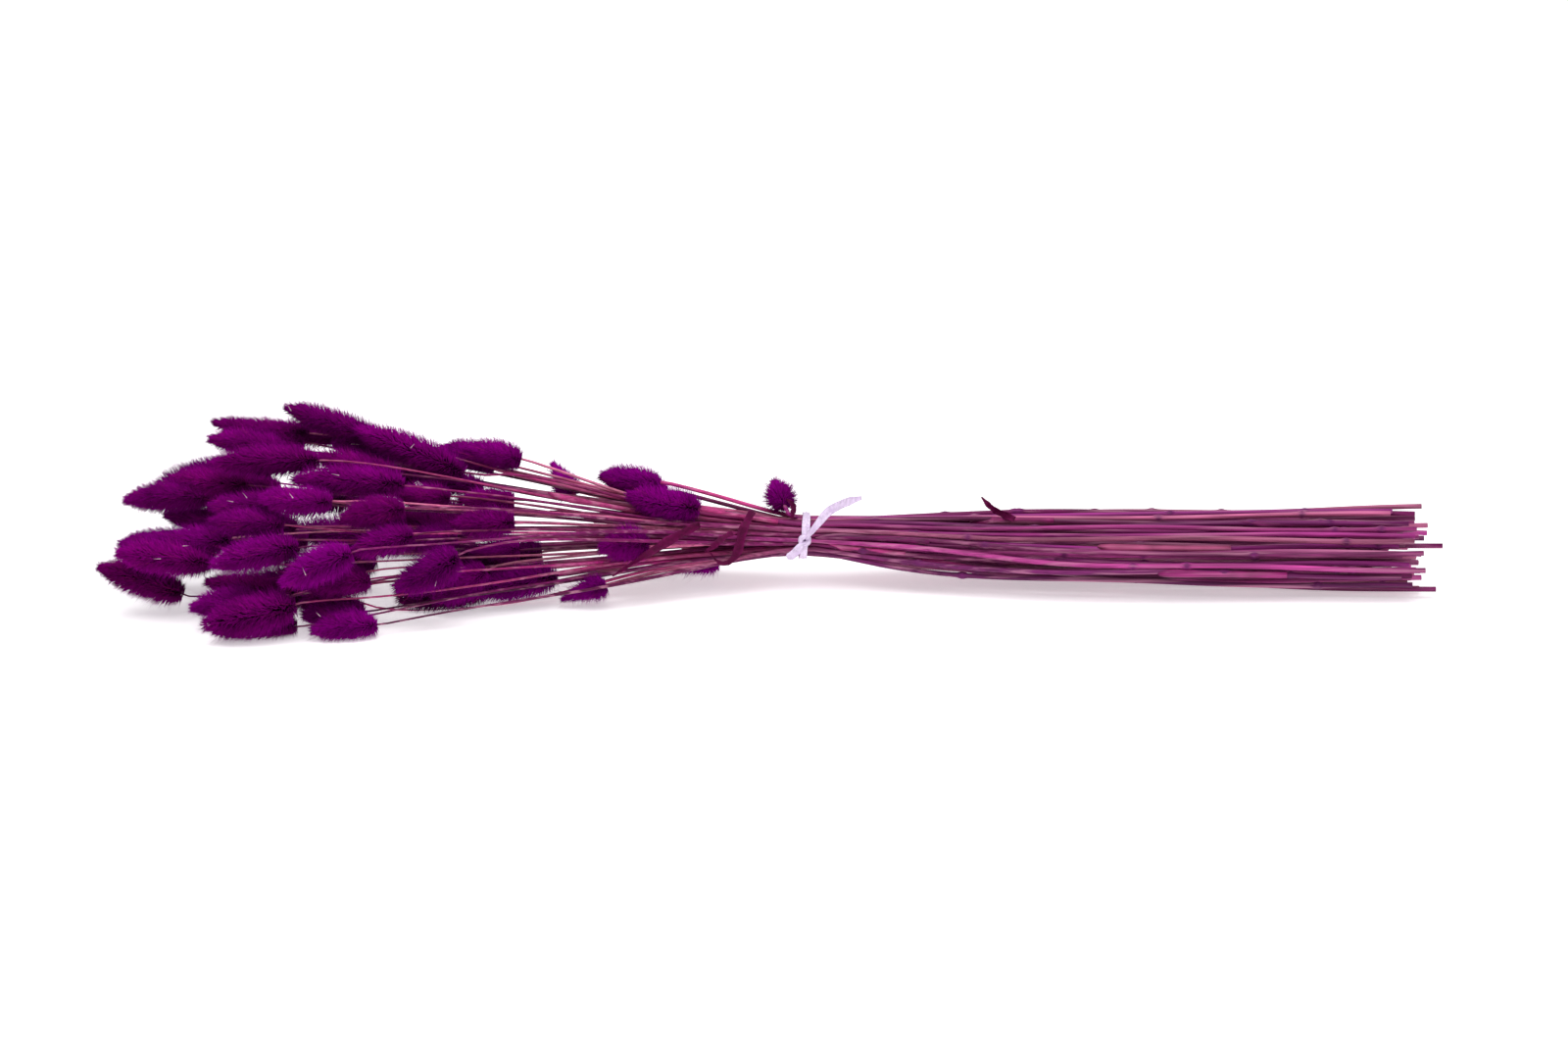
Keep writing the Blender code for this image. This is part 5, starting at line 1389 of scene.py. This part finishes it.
def add_strip_end(skin, route, draw):
    points = [seen_at(column, row, depth) for column, row, depth in route]
    path, along = evenly(rounded(points, 2), STRIP_END_RINGS)
    width = STRIP_WIDTH * (NARROW + FLARE * smooth_step(along / FLARE_OVER))
    width = width * (1 - CLOSE * smooth_step((along - CLOSE_FROM) / CLOSE_OVER))
    turns = STRIP_END_TWIST * np.sin(along * STRIP_END_TWISTS + draw.uniform(*WAVE_STARTS))
    thickness = STRIP_THICKNESS * STRIP_END_SHARE
    form = STRIP_END_CURL, turns, thickness, TIE_ACROSS, STRIP_END_CRINKLE
    skin.loft(sheet_rings(path, width, *form, draw), TIE_DYE)


def knot_rings(centre, turn):
    """One fat turn of the strip in the knot, tilted by an angle in the picture's plane."""
    around = turn_angles(KNOT_STEPS)
    x = KNOT_LOOP[0] * np.cos(around)
    y = KNOT_LOOP[1] * np.sin(around) * np.cos(around + turn)
    z = KNOT_LOOP[2] * np.sin(around)
    cosine, sine = math.cos(turn), math.sin(turn)
    loop = np.column_stack([x * cosine - z * sine, y, x * sine + z * cosine]) + centre
    tangent = unit(np.roll(loop, -1, axis=0) - np.roll(loop, 1, axis=0))
    out = unit(loop - centre)
    return rings_round(loop, out, np.cross(out, tangent), np.full((KNOT_STEPS, KNOT_SIDES), KNOT_STRAND))


def build_tie(layout, material):
    draw = np.random.default_rng(SEED + 50)
    slots = layout.plants.slots
    reached = np.hypot(slots[:, 0] / WAIST_HALF_DEPTH, slots[:, 1] / WAIST_HALF_HEIGHT).max()
    reach = STEM_TIE_RADIUS + GAP + STRIP_THICKNESS / 2
    half_depth, half_height = WAIST_HALF_DEPTH * reached, WAIST_HALF_HEIGHT * reached
    skin = Skin()
    skin.loft(band_rings(half_depth + reach, half_height + reach, draw), TIE_DYE, loop=True)
    stand_off = half_depth + STEM_TIE_RADIUS + GAP + STRIP_THICKNESS + KNOT_STAND_OFF
    centre = np.array([TIE_X, -stand_off, TIE_HEIGHT + KNOT_RISE])
    for turn in KNOT_TURNS:
        skin.loft(knot_rings(centre, turn), TIE_DYE, loop=True)
    for route in (LONG_END, SHORT_END):
        add_strip_end(skin, route, draw)
    skin.piece("tie_strip", material, "tie", "tie")


def new_node(tree, kind, *links, **values):
    """A node of this kind with its sockets set by name, joined to other sockets by the links."""
    node = tree.nodes.new(f"ShaderNode{kind}")
    for name, value in values.items():
        node.inputs[name.replace("_", " ")].default_value = value
    for name, source in links:
        tree.links.new(source, node.inputs[name])
    return node


class Nodes:
    """A material's node tree as it is put together, from the shader's constant values on."""

    def __init__(self, name, **values):
        self.material = bpy.data.materials.new(name)
        self.material.use_nodes = True
        self.tree = self.material.node_tree
        self.shader = self.tree.nodes["Principled BSDF"]
        for socket, value in values.items():
            self.shader.inputs[socket.replace("_", " ")].default_value = value
        self.coordinates = new_node(self.tree, "TexCoord").outputs["Object"]

    def noise(self, scale, stretch=(1.0, 1.0, 1.0), detail=4.0):
        mapping = new_node(self.tree, "Mapping", ("Vector", self.coordinates), Scale=stretch)
        link = ("Vector", mapping.outputs["Vector"])
        return new_node(self.tree, "TexNoise", link, Scale=scale, Detail=detail).outputs["Fac"]

    def ranged(self, value, low, high, from_low=0.3, from_high=0.7):
        limits = {"From_Min": from_low, "From_Max": from_high, "To_Min": low, "To_Max": high}
        return new_node(self.tree, "MapRange", ("Value", value), **limits).outputs["Result"]

    def dye(self):
        node = new_node(self.tree, "Attribute")
        node.attribute_name = "dye"
        return node.outputs["Color"]

    def brightened(self, colour, *values):
        """The colour with its brightness multiplied by each value in turn."""
        for value in values:
            links = ("Color", colour), ("Value", value)
            colour = new_node(self.tree, "HueSaturation", *links).outputs["Color"]
        return colour

    def stained(self, colour, stain, share):
        node = self.tree.nodes.new("ShaderNodeMix")
        node.data_type = "RGBA"
        self.tree.links.new(share, node.inputs["Factor"])
        self.tree.links.new(colour, node.inputs["A"])
        node.inputs["B"].default_value = (*stain, 1.0)
        return node.outputs["Result"]

    def bump(self, height, distance, strength):
        links = ("Height", height),
        node = new_node(self.tree, "Bump", *links, Strength=strength, Distance=distance)
        self.give("Normal", node.outputs["Normal"])

    def give(self, socket, value):
        self.tree.links.new(value, self.shader.inputs[socket])


def fur_material():
    sheen = {"Sheen_Weight": 0.05, "Sheen_Roughness": 0.4, "Sheen_Tint": (0.6, 0.0, 0.8, 1.0)}
    nodes = Nodes("dyed fur", Specular_IOR_Level=0.02, **sheen)
    patches = nodes.ranged(nodes.noise(90.0, detail=3.0), 0.8, 1.2)
    strands = nodes.ranged(nodes.noise(900.0, detail=2.0), 0.75, 1.25)
    nodes.give("Base Color", nodes.brightened(nodes.dye(), patches, strands))
    nodes.give("Roughness", nodes.ranged(nodes.noise(300.0), 0.75, 0.95))
    return nodes.material


def straw_material():
    nodes = Nodes("dyed straw", Specular_IOR_Level=0.2)
    fibres_and_gap_shade = nodes.noise(1.0, (12.0, 1700.0, 1700.0), 4.0)
    patches = nodes.ranged(nodes.noise(1.0, (22.0, 160.0, 160.0), 3.0), 0.75, 1.25)
    # The streaks' dark lines are partly the straw's grain and partly painted shade, as of gaps between
    # thinner straws
    colour = nodes.brightened(nodes.dye(), patches, nodes.ranged(fibres_and_gap_shade, 0.55, 1.35))
    faded = nodes.ranged(nodes.noise(1.0, (14.0, 500.0, 500.0), 3.0), 0.0, 0.6, 0.52, 0.72)
    nodes.give("Base Color", nodes.stained(colour, (0.58, 0.23, 0.36), faded))
    nodes.give("Roughness", nodes.ranged(fibres_and_gap_shade, 0.38, 0.6))
    nodes.bump(fibres_and_gap_shade, 0.0004, 0.35)
    return nodes.material


def leaf_material():
    nodes = Nodes("dried leaf", Specular_IOR_Level=0.08)
    veins = nodes.noise(1.0, (500.0, 900.0, 900.0), 5.0)
    patches = nodes.ranged(nodes.noise(140.0), 0.65, 1.35)
    lines = nodes.ranged(veins, 0.75, 1.25)
    nodes.give("Base Color", nodes.brightened(nodes.dye(), patches, lines))
    nodes.give("Roughness", nodes.ranged(veins, 0.45, 0.7))
    nodes.bump(veins, 0.0005, 0.5)
    return nodes.material


def strip_material():
    nodes = Nodes("pale strip", Transmission_Weight=0.12)
    creases = nodes.noise(1.0, (900.0, 900.0, 500.0), 5.0)
    colour = nodes.brightened(nodes.dye(), nodes.ranged(creases, 0.8, 1.15))
    stains = nodes.ranged(nodes.noise(220.0), 0.0, 0.45, 0.5, 0.8)
    nodes.give("Base Color", nodes.stained(colour, (0.42, 0.16, 0.55), stains))
    nodes.give("Roughness", nodes.ranged(creases, 0.25, 0.5))
    nodes.bump(creases, 0.0004, 0.4)
    return nodes.material


def floor_material():
    """White, and faintly bright by itself, so that shadows on it stay pale."""
    glow = {"Emission_Color": (1.0, 0.95, 0.99, 1.0), "Emission_Strength": 0.44}
    nodes = Nodes("white floor", Roughness=0.8, **glow)
    tone = nodes.ranged(nodes.noise(3.0), 0.0, 0.03)
    ground = nodes.tree.nodes.new("ShaderNodeRGB")
    ground.outputs[0].default_value = (0.90, 0.895, 0.90, 1.0)
    nodes.give("Base Color", nodes.stained(ground.outputs[0], (0.86, 0.86, 0.87), tone))
    return nodes.material


def add_object(name, data):
    made = bpy.data.objects.new(name, data)
    bpy.context.scene.collection.objects.link(made)
    return made


def build_floor():
    mesh = bpy.data.meshes.new("floor")
    corners = [(-FLOOR_HALF, -FLOOR_HALF, 0.0), (FLOOR_HALF, -FLOOR_HALF, 0.0),
               (FLOOR_HALF, FLOOR_HALF, 0.0), (-FLOOR_HALF, FLOOR_HALF, 0.0)]
    mesh.from_pydata(corners, [], [(0, 1, 2, 3)])
    mesh.materials.append(floor_material())
    add_object("floor", mesh)


def aimed(direction):
    """The turn that points a light or a camera this way."""
    return Vector(direction).to_track_quat("-Z", "Y").to_euler()


def light_scene():
    world = bpy.data.worlds.new("studio")
    world.use_nodes = True
    background = world.node_tree.nodes["Background"]
    background.inputs["Color"].default_value = (1.0, 1.0, 1.0, 1.0)
    background.inputs["Strength"].default_value = WORLD_STRENGTH
    bpy.context.scene.world = world
    for name, place, size, power in LIGHTS:
        light = bpy.data.lights.new(name, "AREA")
        light.size = size
        light.energy = power
        made = add_object(name, light)
        made.location = place
        made.rotation_euler = aimed(Vector(LIT_PLACE) - Vector(place))


def place_camera():
    camera = add_object("camera", bpy.data.cameras.new("camera"))
    camera.location = (CAMERA_PLACE + SHIFT) * MM
    camera.rotation_euler = aimed(SIGHT)
    camera.data.sensor_width = SENSOR_WIDTH
    camera.data.lens = SENSOR_WIDTH * CAMERA_DISTANCE / (PICTURE_COLUMNS * MM_PER_PIXEL)
    bpy.context.scene.camera = camera


def main():
    layout = Layout()
    layout.settle(FIRST_ROUNDS, FIRST_HOLD)
    groups = layout.group_heads()
    for hold in LATER_HOLDS:
        layout.settle(LATER_ROUNDS, hold)
    build_heads(layout, groups, fur_material())
    build_stems(layout, straw_material())
    build_leaves(layout, leaf_material())
    build_tie(layout, strip_material())
    build_floor()
    light_scene()
    place_camera()
    bpy.context.scene.view_settings.view_transform = "Standard"


main()
